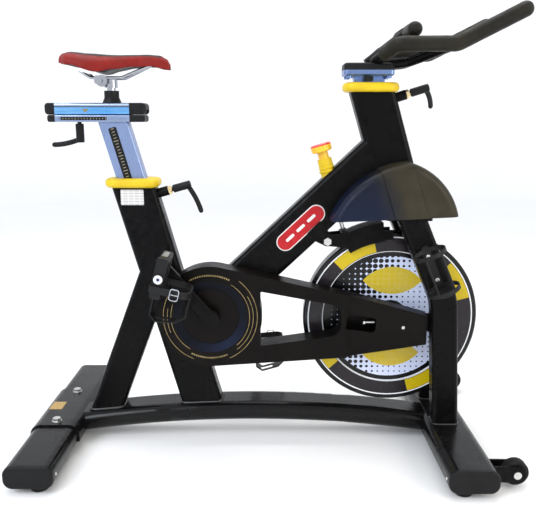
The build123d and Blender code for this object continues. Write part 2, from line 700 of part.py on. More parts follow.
def make_toe_cage(side):
    """Toe clip with its strap: a band round the toes, joined to a strap that loops round the pedal."""
    half_l = PEDAL_L / 2
    half_h = PEDAL_H / 2
    half_w = PEDAL_W / 2 + TOE_SIDE_GAP + TOE_BAND_T
    t = TOE_BAND_T
    up = 1 if side < 0 else -1
    frame = pedal_frame(side)
    front = half_l + TOE_REACH
    low = -half_h + 6
    high = half_h + TOE_HEIGHT
    strap_x = half_l - STRAP_BACK
    outer = [(half_l, low), (front - 14, low), (front, low + 16), (front - 8, high - 22), (front - 26, high)]
    inner = [(half_l, low + t), (front - 16, low + t), (front - t, low + 17),
             (front - 8 - t, high - 23), (front - 27, high - t)]
    back = [(strap_x - STRAP_W / 2, high), (strap_x - STRAP_W / 2, high - t)]
    outline = outer + back + inner[::-1]
    profile = make_face(Polyline(*[(x, up * y) for x, y in outline], close=True))
    clip = extrude(frame * profile, TOE_BAND_W, both=True)
    toe_slot = Pos(front - 6, up * (low + 30)) * Rectangle(40, 34)
    clip -= extrude(frame * toe_slot, TOE_BAND_W - 8, both=True)
    top_slot = Pos((front - 30 + strap_x) / 2, up * high) * Rectangle(front - 44 - strap_x, 20)
    clip -= extrude(frame * top_slot, TOE_BAND_W - 8, both=True)
    band_plane = Plane(origin=frame.origin + frame.x_dir * strap_x, x_dir=frame.z_dir, z_dir=frame.x_dir * -up)
    strap = strap_ring(half_w, -half_h - t, high, 0) - strap_ring(half_w, -half_h - t, high, t)
    body = clip + extrude(band_plane * strap, STRAP_W / 2, both=True)
    return body


def strap_ring(half_w, low, high, shrink):
    """Outline of the strap's loop, round over the foot and square under the pedal."""
    half = half_w - shrink
    top = high - shrink
    bottom = low + shrink
    r = STRAP_TOP_R - shrink
    upper = Pos(0, (top + bottom) / 2) * RectangleRounded(2 * half, top - bottom, r)
    lower = Pos(0, (top + bottom) / 2 - r / 2) * Rectangle(2 * half, top - bottom - r)
    return upper + lower


# ---- Flywheel ----------------------------------------------------------------------------------
def make_flywheel():
    body = across(FLYWHEEL_POINT, -RIM_W / 2, RIM_W / 2, FLYWHEEL_R)
    body = chamfer(body.edges(), 3)
    depth = (RIM_W - WEB_W) / 2
    web_r = FLYWHEEL_R - RIM_DEPTH
    for side in (-1, 1):
        y0, y1 = sorted((side * (RIM_W / 2 - depth), side * (RIM_W / 2 + 1)))
        body -= across(FLYWHEEL_POINT, y0, y1, web_r)
    return body - across(FLYWHEEL_POINT, -RIM_W, RIM_W, AXLE_BORE_R)


def make_flywheel_axle():
    body = across(FLYWHEEL_POINT, -AXLE_LENGTH / 2, AXLE_LENGTH / 2, AXLE_R)
    inner = DROPOUT_Y - DROPOUT_T / 2
    for side in (-1, 1):
        shoulder = sorted((side * (WEB_W / 2 + 1), side * inner))
        body += across(FLYWHEEL_POINT, *shoulder, AXLE_R + 0.8)
    return body


def make_dropouts():
    """Slotted plates that carry the flywheel axle behind the fork legs."""
    plates = []
    rear = FLYWHEEL_X - DROPOUT_BACK
    front = leg_bend.X + 20
    profile = Pos((rear + front) / 2, FLYWHEEL_Z) * RectangleRounded(front - rear, DROPOUT_H, 10)
    slot = Pos(FLYWHEEL_X - 9, FLYWHEEL_Z) * SlotCenterToCenter(18, 2 * AXLE_R + 0.2)
    for side in (-1, 1):
        y = side * DROPOUT_Y
        sheet = plate(profile - slot, y - DROPOUT_T / 2, y + DROPOUT_T / 2)
        sheet -= leg_solid(side, 0)
        solids = sheet.solids().sort_by(Axis.X)
        plates.append(solids[0])
    return group(*plates)


def make_axle_nuts():
    """Axle nuts and washers, and the two bolts that pull the axle back to tension the belt."""
    pieces = []
    outer = DROPOUT_Y + DROPOUT_T / 2
    for side in (-1, 1):
        start = Vector(FLYWHEEL_X, side * outer, FLYWHEEL_Z)
        out = Vector(0, side, 0)
        pieces.append(ring(start, start + out * 2, 14, AXLE_R))
        pieces.append(hexagon_nut(start + out * 2, out, 12.5, AXLE_R, 7))
    for side in (-1, 1):
        y = side * DROPOUT_Y
        bolt_start = Vector(FLYWHEEL_X - 70, y, FLYWHEEL_Z)
        bolt_end = Vector(FLYWHEEL_X - 46, y, FLYWHEEL_Z)
        bolt = rod(bolt_start, bolt_end, 3.5)
        bolt += extrude(Plane(origin=bolt_start, z_dir=(-1, 0, 0)) * RegularPolygon(6.5, 6), 5)
        pieces.append(bolt)
    return pieces


# ---- Belt guard --------------------------------------------------------------------------------
def guard_outline(shrink):
    """Side outline of the guard, made smaller by shrink, without its openings."""
    x0 = CRANK_X
    end_x = CRANK_X + GUARD_END_AHEAD - shrink
    upper = [(x0 + 335, CRANK_Z + 57 - shrink), (end_x, CRANK_Z - 1 - shrink)]
    lower = [(end_x, CRANK_Z - 76 + shrink), (x0 + 339, CRANK_Z - 108 + shrink)]
    disc = Pos(x0, CRANK_Z) * Circle(GUARD_R - shrink)
    tail = make_face(Polyline((x0, CRANK_Z + 20), upper[0], upper[1], lower[0], lower[1], (x0, CRANK_Z - 20), close=True))
    arm = make_hull([*disc.edges(), *(Pos(x0 + 330, CRANK_Z + 37 - shrink) * Circle(20)).edges(),
                     *(Pos(x0 + 330, CRANK_Z - 87 + shrink) * Circle(20)).edges()])
    return arm + tail


def guard_window(grow):
    """D-shaped opening between the two arms of the guard."""
    x0 = CRANK_X
    window = make_hull([
        *(Pos(x0 + 128, CRANK_Z + 62) * Circle(3 + grow)).edges(),
        *(Pos(x0 + 128, CRANK_Z - 72) * Circle(3 + grow)).edges(),
        *(Pos(x0 + 296, CRANK_Z + 2) * Circle(31 + grow)).edges(),
        *(Pos(x0 + 296, CRANK_Z - 20) * Circle(31 + grow)).edges(),
    ])
    return window - Pos(x0, CRANK_Z) * Circle(GUARD_R - grow)


def guard_envelope(shrink):
    """Depth of the guard seen from above: full round the cranks, stepped in beside the flywheel."""
    step = CRANK_X + GUARD_STEP_AHEAD
    left = CRANK_X - GUARD_R - 10
    right = CRANK_X + GUARD_END_AHEAD + 10
    outer = -GUARD_OUTER_Y + shrink
    front = -GUARD_FRONT_Y + shrink
    outline = Polyline((left, -GUARD_SPLIT_Y), (left, outer), (step, outer), (step + 16, front),
                       (right, front), (right, -GUARD_SPLIT_Y), close=True)
    return extrude(make_face(outline), 700)


guard_slot = Pos(CRANK_X + 378, CRANK_Z - 21) * Rot(0, 0, -8) * RectangleRounded(76, 38, 9)


def make_guard_outer():
    face = guard_outline(0) - guard_window(0)
    hollow = guard_outline(GUARD_WALL) - guard_window(GUARD_WALL)
    body = plate(face, -GUARD_OUTER_Y, -GUARD_SPLIT_Y) & guard_envelope(0)
    body -= plate(hollow, -GUARD_OUTER_Y, -GUARD_SPLIT_Y + 1) & guard_envelope(GUARD_WALL)
    body -= plate(guard_slot, -GUARD_OUTER_Y - 1, -GUARD_SPLIT_Y + 1)
    y = -GUARD_OUTER_Y
    cone_big = Plane(origin=(CRANK_X, y, CRANK_Z), z_dir=(0, 1, 0)) * Circle(GUARD_RECESS_R)
    cone_small = Plane(origin=(CRANK_X, y + GUARD_RECESS_T, CRANK_Z), z_dir=(0, 1, 0)) * Circle(GUARD_DISC_R)
    dish_in = loft([cone_small.face(), cone_big.face()])
    backing = across(CRANK_POINT, y + GUARD_WALL - 0.1, y + GUARD_RECESS_T + GUARD_WALL, GUARD_RECESS_R)
    body = body + backing - dish_in
    body -= across(CRANK_POINT, y - 1, -GUARD_SPLIT_Y + 1, 16 + GUARD_CLEAR)
    end = CRANK_X + GUARD_END_AHEAD
    half = DROPOUT_H / 2 + CLEAR
    y_in = DROPOUT_Y - DROPOUT_T / 2 - CLEAR
    y_out = DROPOUT_Y + DROPOUT_T / 2 + CLEAR
    rear = FLYWHEEL_X - DROPOUT_BACK - CLEAR
    return body - block(rear, end + 1, -y_out, -y_in, FLYWHEEL_Z - half, FLYWHEEL_Z + half)


def make_guard_inner():
    face = guard_outline(0) - guard_window(0)
    body = plate(face, -GUARD_SPLIT_Y, -shell_half - CLEAR)
    body -= across(CRANK_POINT, -GUARD_SPLIT_Y - 1, -shell_half + 1, SHELL_R - 4)
    body -= across(FLYWHEEL_POINT, -GUARD_SPLIT_Y - 1, -shell_half + 1, DRIVEN_PULLEY_R + 6)
    return body


# ---- Fender ------------------------------------------------------------------------------------
fender_rear = Vector(CRANK_X + 296, 0, CRANK_Z + 242)
fender_front = Vector(CRANK_X + 601, 0, CRANK_Z + 255)


def fender_profile(grow):
    """Side outline of the hood over the fork crown."""
    g = grow
    rear = (fender_rear.X - g, fender_rear.Z)
    front = (fender_front.X + g, fender_front.Z)
    top = (CRANK_X + 490 - g * 0.2, CRANK_Z + 380 + g)
    rise = ThreePointArc(rear, (CRANK_X + 371 - 0.7 * g, CRANK_Z + 338 + 0.7 * g), top)
    fall = ThreePointArc(top, (CRANK_X + 566 + 0.8 * g, CRANK_Z + 327 + 0.6 * g), front)
    return make_face(Curve() + [rise, fall, Line(front, rear)])


def fender_solid(grow):
    half = FENDER_HALF_W + grow
    body = plate(fender_profile(grow), -half, half)
    rims = body.edges().filter_by(lambda e: abs(abs(e.center().Y) - half) < 0.1 and e.geom_type == GeomType.CIRCLE)
    return fillet(rims, FENDER_EDGE_R + grow)


def make_fender():
    outer = fender_solid(0)
    inner = fender_solid(-FENDER_WALL)
    x0 = CRANK_X + 430
    x1 = CRANK_X + 505
    lean = 18
    band_zone = Pos((x0 + x1) / 2, 0, CRANK_Z + 310) * Rot(0, -lean, 0) * Box(x1 - x0, 400, 400)
    band = (fender_solid(FENDER_BAND_T) - inner) & band_zone
    body = (outer - inner) + band
    body -= block(x0 - 300, x1 + 300, -300, 300, CRANK_Z, fender_rear.Z)
    crown_x = head_axis(CROWN_Z).X
    reach_x = CROWN_L / 2 + CLEAR
    reach_y = LEG_Y + LEG_D / 2 + CLEAR
    body -= block(crown_x - reach_x, crown_x + reach_x, -reach_y, reach_y, CROWN_Z - CROWN_H, CROWN_Z + CROWN_H / 2)
    body -= bar(head_axis(HEAD_TUBE_TOP_Z), head_axis(CROWN_Z - 60), MAIN_TUBE_W + 1, MAIN_TUBE_D + 1, MAIN_TUBE_R)
    start = down_axis(CRANK_X + 50)
    end = down_axis(head_axis(CROWN_Z + 60).X)
    body -= bar(start, end, MAIN_TUBE_W + 1, MAIN_TUBE_D + 1, MAIN_TUBE_R)
    return largest(body)


# ---- Brake -------------------------------------------------------------------------------------
knob_x = CRANK_X + KNOB_AHEAD
tube_half_rise = MAIN_TUBE_W / 2 / cos(radians(DOWN_TUBE_SLOPE))
knob_base = down_axis(knob_x) + Vector(0, 0, tube_half_rise)
pivot_depth = MAIN_TUBE_W / 2 + PIVOT_DROP
pivot_above = down_axis(CRANK_X + PIVOT_AHEAD - pivot_depth * sin(radians(DOWN_TUBE_SLOPE)))
brake_pivot = pivot_above - DOWN_NORMAL * pivot_depth
cheek_in = RIM_W / 2 + CALIPER_GAP
cheek_out = cheek_in + CALIPER_T
ROD_BELOW = 152.0               # knob base down to the rod's lower end
rod_end = knob_base - KNOB_UP * ROD_BELOW
down_tube_outer = bar(down_axis(CRANK_X - 100), down_axis(head_axis(CROWN_Z + 90).X + 60),
                      MAIN_TUBE_W, MAIN_TUBE_D, MAIN_TUBE_R)


def rim_sector(r_in, r_out, a0, a1):
    """Piece of a ring round the flywheel axis between two angles, as a face in side coordinates."""
    c = FLYWHEEL_POINT
    def at(r, a):
        p = polar(c, r, a)
        return (p.X, p.Z)
    mid = (a0 + a1) / 2
    outer = ThreePointArc(at(r_out, a0), at(r_out, mid), at(r_out, a1))
    inner = ThreePointArc(at(r_in, a1), at(r_in, mid), at(r_in, a0))
    return make_face(Curve() + [outer, Line(at(r_out, a1), at(r_in, a1)), inner, Line(at(r_in, a0), at(r_out, a0))])


def make_brake_caliper():
    """Saddle over the rim: two cheeks, a bridge above the rim and a tube on the pivot."""
    bridge_r = FLYWHEEL_R + CALIPER_TOP_GAP
    reach = polar(FLYWHEEL_POINT, FLYWHEEL_R + 2, 116)
    arm = make_hull([*(Pos(brake_pivot.X, brake_pivot.Z) * Circle(13)).edges(),
                     *(Pos(reach.X, reach.Z) * Circle(20)).edges()])
    profile = rim_sector(FLYWHEEL_R - 22, bridge_r + 5, 96, 122) + arm
    profile += rim_sector(FLYWHEEL_R - 17, FLYWHEEL_R + 6, 90, 100)
    body = None
    for side in (-1, 1):
        y0, y1 = sorted((side * cheek_in, side * cheek_out))
        cheek = plate(profile, y0, y1)
        body = cheek if body is None else body + cheek
    body += plate(rim_sector(bridge_r, bridge_r + 5, 96, 118), -cheek_out, cheek_out)
    lug_top = rod_end - KNOB_UP * CLEAR
    body += extrude(Plane(origin=lug_top, x_dir=Y_DIR, z_dir=KNOB_UP) * Rectangle(2 * cheek_out, 18), -6)
    body += across(brake_pivot, -cheek_in, cheek_in, PIVOT_R + 5)
    return body - across(brake_pivot, -cheek_out - 1, cheek_out + 1, PIVOT_R + RUNNING_FIT)


def make_brake_magnets():
    pieces = []
    for side in (-1, 1):
        y0, y1 = sorted((side * cheek_in, side * (cheek_in - MAGNET_T)))
        for a0 in (98, 108):
            pieces.append(plate(rim_sector(FLYWHEEL_R - 20, FLYWHEEL_R - 2, a0, a0 + 8), y0, y1))
    return group(*pieces)


def make_brake_bracket():
    """Two ears welded to the down tube's sides, with the pivot bolt between them."""
    ears = []
    upper = brake_pivot + DOWN_NORMAL * (PIVOT_DROP + 24)
    profile = make_hull([*(Pos(brake_pivot.X, brake_pivot.Z) * Circle(13)).edges(),
                         *(Pos(upper.X - 14, upper.Z - 14) * Circle(9)).edges(),
                         *(Pos(upper.X + 12, upper.Z + 12) * Circle(9)).edges()])
    for side in (-1, 1):
        y0, y1 = sorted((side * shell_half, side * (shell_half + EAR_T)))
        ear = plate(profile, y0, y1)
        ears.append(ear - across(brake_pivot, y0 - 1, y1 + 1, PIVOT_R))
    return ears


def make_brake_pivot():
    out = shell_half + EAR_T
    body = across(brake_pivot, -out, out, PIVOT_R)
    body += extrude(Plane(origin=(brake_pivot.X, -out, brake_pivot.Z), z_dir=(0, -1, 0)) * RegularPolygon(10.5, 6), 7)
    body += extrude(Plane(origin=(brake_pivot.X, out, brake_pivot.Z), z_dir=(0, 1, 0)) * RegularPolygon(10.5, 6), 8)
    return body


def make_brake_rod():
    """Push rod with a round lower end."""
    top = knob_base + KNOB_UP * (HOUSING_H + 20)
    low = rod_end + KNOB_UP * ROD_R
    return rod(low, top, ROD_R) + Pos(*low) * Sphere(ROD_R)


def make_knob_housing():
    """Ribbed housing that carries the knob on the down tube."""
    body = rod(knob_base - KNOB_UP * 26, knob_base + KNOB_UP * (HOUSING_H - 4), HOUSING_R - 3)
    ribs = 4
    pitch = (HOUSING_H - 6) / ribs
    for k in range(ribs):
        low = knob_base + KNOB_UP * (2 + k * pitch)
        disc = rod(low, low + KNOB_UP * (pitch * 0.62), HOUSING_R - 1.2 * k)
        body += chamfer(disc.edges(), 1.6)
    body -= down_tube_outer
    body = largest(body)
    bore_low = knob_base + KNOB_UP * (HOUSING_H - 28)
    body -= rod(bore_low, knob_base + KNOB_UP * (HOUSING_H + 5), NECK_R + CLEAR)
    return body - rod(knob_base - KNOB_UP * 60, knob_base + KNOB_UP * 60, ROD_R + CLEAR)


def make_knob():
    """Push-and-turn knob: grooved neck under a flat disc."""
    low = knob_base + KNOB_UP * (HOUSING_H - 14)
    disc_low = knob_base + KNOB_UP * (HOUSING_H + 14)
    disc_top = disc_low + KNOB_UP * KNOB_H
    body = rod(low, disc_low + KNOB_UP * 1, NECK_R)
    for k in range(3):
        at = knob_base + KNOB_UP * (HOUSING_H + 2 + 4 * k)
        body -= ring(at, at + KNOB_UP * 1.6, NECK_R + 1, NECK_R - 1.2)
    disc = rod(disc_low, disc_top, KNOB_R)
    disc = fillet(disc.edges(), 5)
    body += disc
    for k in range(12):
        a = radians(30 * k)
        side = Y_DIR * cos(a) + KNOB_UP.cross(Y_DIR) * sin(a)
        body -= rod(disc_low + side * (KNOB_R + 2) - KNOB_UP, disc_top + side * (KNOB_R + 2) + KNOB_UP, 3.2)
    return body - rod(low - KNOB_UP, knob_base + KNOB_UP * (HOUSING_H + 20.5), ROD_R + RUNNING_FIT)


# ---- Clamps and collars ------------------------------------------------------------------------
def post_hole(axis, top_z, low_z, grow):
    """The post's own section along a leaning axis, grown all round."""
    return bar(axis(top_z), axis(low_z), POST_W + 2 * grow, POST_D + 2 * grow, POST_R + grow)


def make_collar(axis, lean, tube_top, lever_point, lever_out):
    """Plastic sleeve inside a tube with the soft-edged bumper on top of it."""
    width = MAIN_TUBE_W / cos(radians(lean)) + 2 * COLLAR_OVER
    depth = MAIN_TUBE_D + 2 * COLLAR_OVER
    mid = axis(tube_top + COLLAR_H / 2)
    plane = Plane(origin=(mid.X, 0, tube_top), x_dir=(1, 0, 0), z_dir=(0, 0, 1))
    bumper = extrude(plane * RectangleRounded(width, depth, 30), COLLAR_H)
    bumper = fillet(bumper.edges(), COLLAR_H / 2 - 1.5)
    inset = TUBE_WALL + SLEEVE_FIT
    sleeve = bar(axis(tube_top + 6), axis(tube_top - SLEEVE_L), MAIN_TUBE_W - 2 * inset,
                 MAIN_TUBE_D - 2 * inset, MAIN_TUBE_R - inset)
    body = bumper + sleeve
    body -= post_hole(axis, tube_top + 60, tube_top - SLEEVE_L - 20, POST_FIT)
    return body - rod(lever_point - lever_out * 30, lever_point, LEVER_PIN_R + 1)


def make_collars():
    return group(make_collar(seat_axis, SEAT_LEAN, SEAT_TUBE_TOP_Z, seat_boss_point, seat_boss_out),
                 make_collar(head_axis, HEAD_LEAN, HEAD_TUBE_TOP_Z, head_boss_point, head_boss_out))


def make_clamp_bosses():
    """Threaded bosses on the two tubes and their lock nuts."""
    pieces = []
    for point, out in ((seat_boss_point, seat_boss_out), (head_boss_point, head_boss_out)):
        pieces.append(ring(point, point + out * BOSS_L, BOSS_R, BOSS_HOLE_R))
    return pieces


def make_lock_nuts():
    pieces = []
    for point, out in ((seat_boss_point, seat_boss_out), (head_boss_point, head_boss_out)):
        start = point + out * (BOSS_L + CLEAR)
        nut = hexagon_nut(start, out, 11, BOSS_HOLE_R, 7)
        nut += ring(start + out * 7, start + out * 9, 8, BOSS_HOLE_R)
        pieces.append(nut)
    return group(*pieces)


def lever_solid(pin_tip, out, arm_dir, start_at):
    """Clamp lever: pin, barrel and a curved arm. The barrel starts start_at from the pin's tip."""
    barrel_start = pin_tip + out * start_at
    barrel_end = barrel_start + out * LEVER_BARREL_L
    body = rod(pin_tip, barrel_start, LEVER_PIN_R)
    barrel = rod(barrel_start, barrel_end, LEVER_BARREL_R)
    body += fillet(barrel.edges(), 2.5)
    root = barrel_end - out * 9
    bend = root + arm_dir * (LEVER_ARM_L * 0.5) + out * 11
    tip = root + arm_dir * LEVER_ARM_L + out * 15
    path = ThreePointArc(root, bend, tip)
    section = Plane(origin=path @ 0, x_dir=out, z_dir=path % 0) * Ellipse(LEVER_ARM_R * 1.35, LEVER_ARM_R)
    body += sweep(section, path)
    body += Pos(*(path @ 1)) * Sphere(LEVER_ARM_R * 1.2)
    return body


def make_tube_lever(point, out, up, swing):
    """Lever in a tube's boss; swing turns its arm about the boss from straight down the tube."""
    inner = point - out * (MAIN_TUBE_W / 2 - POST_W / 2 - 0.6)
    start_at = (point - inner).length + BOSS_L + 12
    arm = up * -cos(radians(swing)) + Y_DIR * sin(radians(swing))
    return lever_solid(inner, out, arm, start_at)


# ---- Seat --------------------------------------------------------------------------------------
post_top = seat_axis(RAIL_Z)
rail_mid_x = post_top.X + RAIL_AHEAD_OF_POST
rail_x0 = rail_mid_x - RAIL_L / 2
rail_x1 = rail_mid_x + RAIL_L / 2
rail_top = RAIL_Z + RAIL_H
carriage_low = rail_top + SLIDE_GAP
carriage_top = carriage_low + CARRIAGE_H
SLIDE_LEVER_FROM_REAR = 51.0
slide_lever_x = rail_x0 + SLIDE_LEVER_FROM_REAR
saddle_pin_x = rail_x1 - PIN_BEHIND_FRONT


def make_seat_post():
    low = seat_axis(SEAT_TUBE_TOP_Z - SEAT_POST_IN)
    body = tube(seat_axis(RAIL_Z + 60), low, POST_W, POST_D, POST_R, POST_WALL)
    return body - level_cut(RAIL_Z)


def t_profile(grow):
    """T-shaped guide on the rail, seen from its end."""
    neck = Pos(0, rail_top + T_NECK_H / 2) * Rectangle(T_NECK_W + 2 * grow, T_NECK_H + 2 * grow)
    head = Pos(0, rail_top + T_NECK_H + T_HEAD_H / 2) * Rectangle(T_HEAD_W + 2 * grow, T_HEAD_H + 2 * grow)
    return neck + head


def along_x(face, x0, x1):
    """Extrudes a sketch drawn in (y, z) between two X values."""
    return extrude(Plane(origin=(x0, 0, 0), x_dir=(0, 1, 0), z_dir=(1, 0, 0)) * face, x1 - x0)


def make_slide_rail():
    base = Pos(0, RAIL_Z + RAIL_H / 2) * RectangleRounded(RAIL_W, RAIL_H, 3)
    body = along_x(base, rail_x0, rail_x1) + along_x(t_profile(0), rail_x0, rail_x1)
    for side in (-1, 1):
        groove = Pos(side * RAIL_W / 2, RAIL_Z + RAIL_H / 2) * Rectangle(1.6, RAIL_H - 9)
        body -= along_x(groove, rail_x0 + 14, rail_x1 - 55)
    return body - rod(Vector(slide_lever_x, 0, RAIL_Z - 1), Vector(slide_lever_x, 0, rail_top + 20), BOSS_HOLE_R)


def make_carriage():
    body_face = Pos(0, carriage_low + CARRIAGE_H / 2) * RectangleRounded(RAIL_W, CARRIAGE_H, 5)
    body = along_x(body_face, rail_x0, rail_x1)
    for side in (-1, 1):
        groove = Pos(side * RAIL_W / 2, carriage_top - 9) * Rectangle(4, 2.4)
        body -= along_x(groove, rail_x0 - 1, rail_x1 + 1)
    return body - along_x(t_profile(SLIDE_GAP), rail_x0 - 1, rail_x1 + 1)


def end_cap(x, direction, length, z0, height, round_r):
    """Moulded end cap, rounded where it faces away from the rail."""
    face = Pos(0, z0 + height / 2) * RectangleRounded(RAIL_W, height, 4)
    x0, x1 = sorted((x, x + direction * length))
    body = along_x(face, x0, x1)
    far = body.faces().sort_by(Axis.X)[-1 if direction > 0 else 0]
    return fillet(far.edges(), round_r)


def make_rail_caps():
    return group(end_cap(rail_x0, -1, REAR_CAP_L - 6, RAIL_Z, RAIL_H, 6),
                 end_cap(rail_x1, 1, FRONT_CAP_L - 3, RAIL_Z, RAIL_H, 6))


def make_carriage_caps():
    caps = []
    for cap in (end_cap(rail_x0, -1, REAR_CAP_L, carriage_low, CARRIAGE_H, 10),
                end_cap(rail_x1, 1, FRONT_CAP_L, carriage_low, CARRIAGE_H, 10)):
        caps.append(cap - along_x(t_profile(SLIDE_GAP), rail_x0 - 200, rail_x1 + 200))
    return group(*caps)


def make_slide_lever():
    return lever_solid(Vector(slide_lever_x, 0, rail_top + T_NECK_H), Vector(0, 0, -1), Vector(-0.98, 0.2, 0),
                       T_NECK_H + RAIL_H + 4)


def make_saddle_socket():
    """Flared socket bolted to the carriage, which holds the saddle pin."""
    low = Plane(origin=(saddle_pin_x, 0, carriage_top), z_dir=(0, 0, 1)) * Circle(PIN_R + 13)
    high = Plane(origin=(saddle_pin_x, 0, carriage_top + SOCKET_H * 0.45), z_dir=(0, 0, 1)) * Circle(PIN_R + 7.5)
    flare = loft([low.face(), high.face()])
    neck = Pos(saddle_pin_x, 0, carriage_top + SOCKET_H * 0.7) * Cylinder(PIN_R + 7.5, SOCKET_H * 0.6)
    body = flare + neck
    return body - rod(Vector(saddle_pin_x, 0, carriage_top + 3), Vector(saddle_pin_x, 0, carriage_top + 60), PIN_R)


pin_top_z = carriage_top + PIN_TOP_ABOVE
clamp_point = Vector(saddle_pin_x - 19, 0, pin_top_z - 4)


def make_saddle_pin():
    return rod(Vector(saddle_pin_x, 0, carriage_top + 3), Vector(saddle_pin_x, 0, pin_top_z), PIN_R)


def rail_path(side):
    """One saddle rail: down from the tail, along the clamp, and up into the nose."""
    y = side * SADDLE_RAIL_SPACING / 2
    z = clamp_point.Z + 7
    return FilletPolyline(
        (clamp_point.X - 62, side * 36, z + 26), (clamp_point.X - 26, y, z), (clamp_point.X + 50, y, z),
        (clamp_point.X + 118, side * 9, z + 30), radius=22)


def make_saddle_rails():
    rails = []
    for side in (-1, 1):
        path = rail_path(side)
        section = Plane(origin=path @ 0, z_dir=path % 0) * Circle(SADDLE_RAIL_R)
        rails.append(sweep(section, path) - saddle_solid(SOFT_GAP))
    return group(*[largest(r) for r in rails])


def make_saddle_clamp():
    """Clamp on top of the pin: a round core with grooved ears that hold the rails."""
    half = SADDLE_RAIL_SPACING / 2
    body = across(clamp_point, -half + 3, half - 3, 14)
    x0 = clamp_point.X - 15
    x1 = clamp_point.X + 15
    for side in (-1, 1):
        y0, y1 = sorted((side * (half - 5), side * (half + 6)))
        ear = block(x0, x1, y0, y1, clamp_point.Z - 8, clamp_point.Z + 12)
        body += fillet(ear.edges().filter_by(Axis.Y), 5)
    body += across(clamp_point, -half - 12, half + 12, 5)
    collar = rod(Vector(saddle_pin_x, 0, pin_top_z - 20), Vector(saddle_pin_x, 0, pin_top_z + 3), PIN_R + 5)
    body += collar
    body -= rod(Vector(saddle_pin_x, 0, pin_top_z - 60), Vector(saddle_pin_x, 0, pin_top_z), PIN_R)
    for side in (-1, 1):
        y = side * half
        z = clamp_point.Z + 7
        body -= rod(Vector(x0 - 20, y, z), Vector(x1 + 20, y, z), SADDLE_RAIL_R)
    return body


saddle_tail_x = saddle_pin_x - SADDLE_TAIL_BEHIND


def saddle_solid(grow):
    """Plain closed body of the saddle: wide at the tail, narrow at the nose."""
    length = SADDLE_L
    top = SADDLE_TOP_Z
    stations = [
        (0.0, 0.66 * SADDLE_W, 20, top + 1),
        (0.13, 0.97 * SADDLE_W, 40, top + 3),
        (0.32, SADDLE_W, 45, top - 2),
        (0.56, 0.52 * SADDLE_W, 32, top - 4),
        (0.80, 1.1 * SADDLE_NOSE_W, 24, top - 4),
        (1.0, 0.8 * SADDLE_NOSE_W, 15, top - 19),
    ]
    faces = []
    for share, width, height, top_z in stations:
        x = saddle_tail_x + share * length + (grow if share == 1 else -grow if share == 0 else 0)
        plane = Plane(origin=(x, 0, top_z - height / 2), x_dir=(0, 1, 0), z_dir=(1, 0, 0))
        section = plane * RectangleRounded(width + 2 * grow, height + 2 * grow, 0.4 * height)
        faces.append(section.face())
    return loft(faces)


def make_saddle():
    return saddle_solid(0)


# ---- Handlebar ---------------------------------------------------------------------------------
flange_z = HEAD_TUBE_TOP_Z + COLLAR_H + BAR_POST_OUT
flange_x = head_axis(flange_z).X
mount_z = flange_z + FLANGE_T
bar_z = mount_z + MOUNT_T


def make_handlebar_post():
    """Post with the flange welded on top."""
    low = head_axis(HEAD_TUBE_TOP_Z - BAR_POST_IN)
    body = tube(head_axis(flange_z + 60), low, POST_W, POST_D, POST_R, POST_WALL)
    body -= level_cut(flange_z)
    plane = Plane(origin=(flange_x, 0, flange_z), x_dir=(1, 0, 0), z_dir=(0, 0, 1))
    flange = extrude(plane * RectangleRounded(FLANGE_L, FLANGE_W, 10), FLANGE_T)
    body += chamfer(flange.edges().group_by(Axis.Z)[0], 3)
    for dx in (-FLANGE_L / 2 + 13, FLANGE_L / 2 - 13):
        for dy in (-FLANGE_W / 2 + 13, FLANGE_W / 2 - 13):
            bolt = Pos(flange_x + dx, dy, flange_z - 3) * Cylinder(7, 6)
            body += bolt
    return body


def make_handlebar_mount():
    plane = Plane(origin=(flange_x, 0, mount_z), x_dir=(1, 0, 0), z_dir=(0, 0, 1))
    body = extrude(plane * RectangleRounded(FLANGE_L, FLANGE_W, 12), MOUNT_T)
    body = fillet(body.edges().group_by(Axis.Z)[-1], 6)
    return body - handlebar_solid


def side_tube_points(side):
    """Corners of one side tube: out of the mount, along the side, and up the horn."""
    y = side * HORN_SPREAD
    x = flange_x
    z = bar_z
    return [(x + 12, side * 16, z + 2), (x + 52, 0.8 * y, z + 35), (x + 178, y, z + 32), (x + 325, y, z + 106)]


def round_tube(path, r):
    section = Plane(origin=path @ 0, z_dir=path % 0) * Circle(r)
    return sweep(section, path)


def side_path(side, foam):
    points = side_tube_points(side)
    if foam:
        start = Vector(*points[0])
        corner = Vector(*points[1])
        points[0] = tuple(start + (corner - start) * 0.42)
        end = Vector(*points[3])
        out = (end - Vector(*points[2])).normalized()
        points[3] = tuple(end - out * 2)
    return FilletPolyline(*points, radius=30)


CROSS_X = 92.0                  # flange's middle forward to the cross grip
CROSS_Z = 69.0                  # handlebar mount's top up to the cross grip
cross_point = Vector(flange_x + CROSS_X, 0, bar_z + CROSS_Z)


def handlebar_tubes(grow):
    """All the handlebar's tubes, or the same tubes made thicker by grow."""
    body = None
    for side in (-1, 1):
        piece = round_tube(side_path(side, False), BAR_R + grow)
        body = piece if body is None else body + piece
        y = side * HORN_SPREAD
        lower = FilletPolyline((flange_x + 30, side * 14, bar_z - 4), (flange_x + 92, side * 30, bar_z + 2),
                               (flange_x + 174, y, bar_z + 32), radius=40)
        body += round_tube(lower, LOWER_TUBE_R + grow)
    stem_foot = Vector(flange_x - 2, 0, bar_z - 3)
    body += rod(stem_foot, cross_point, BAR_R + 2 + grow)
    return body + across(cross_point, -CROSS_BAR_HALF, CROSS_BAR_HALF, BAR_R + grow)


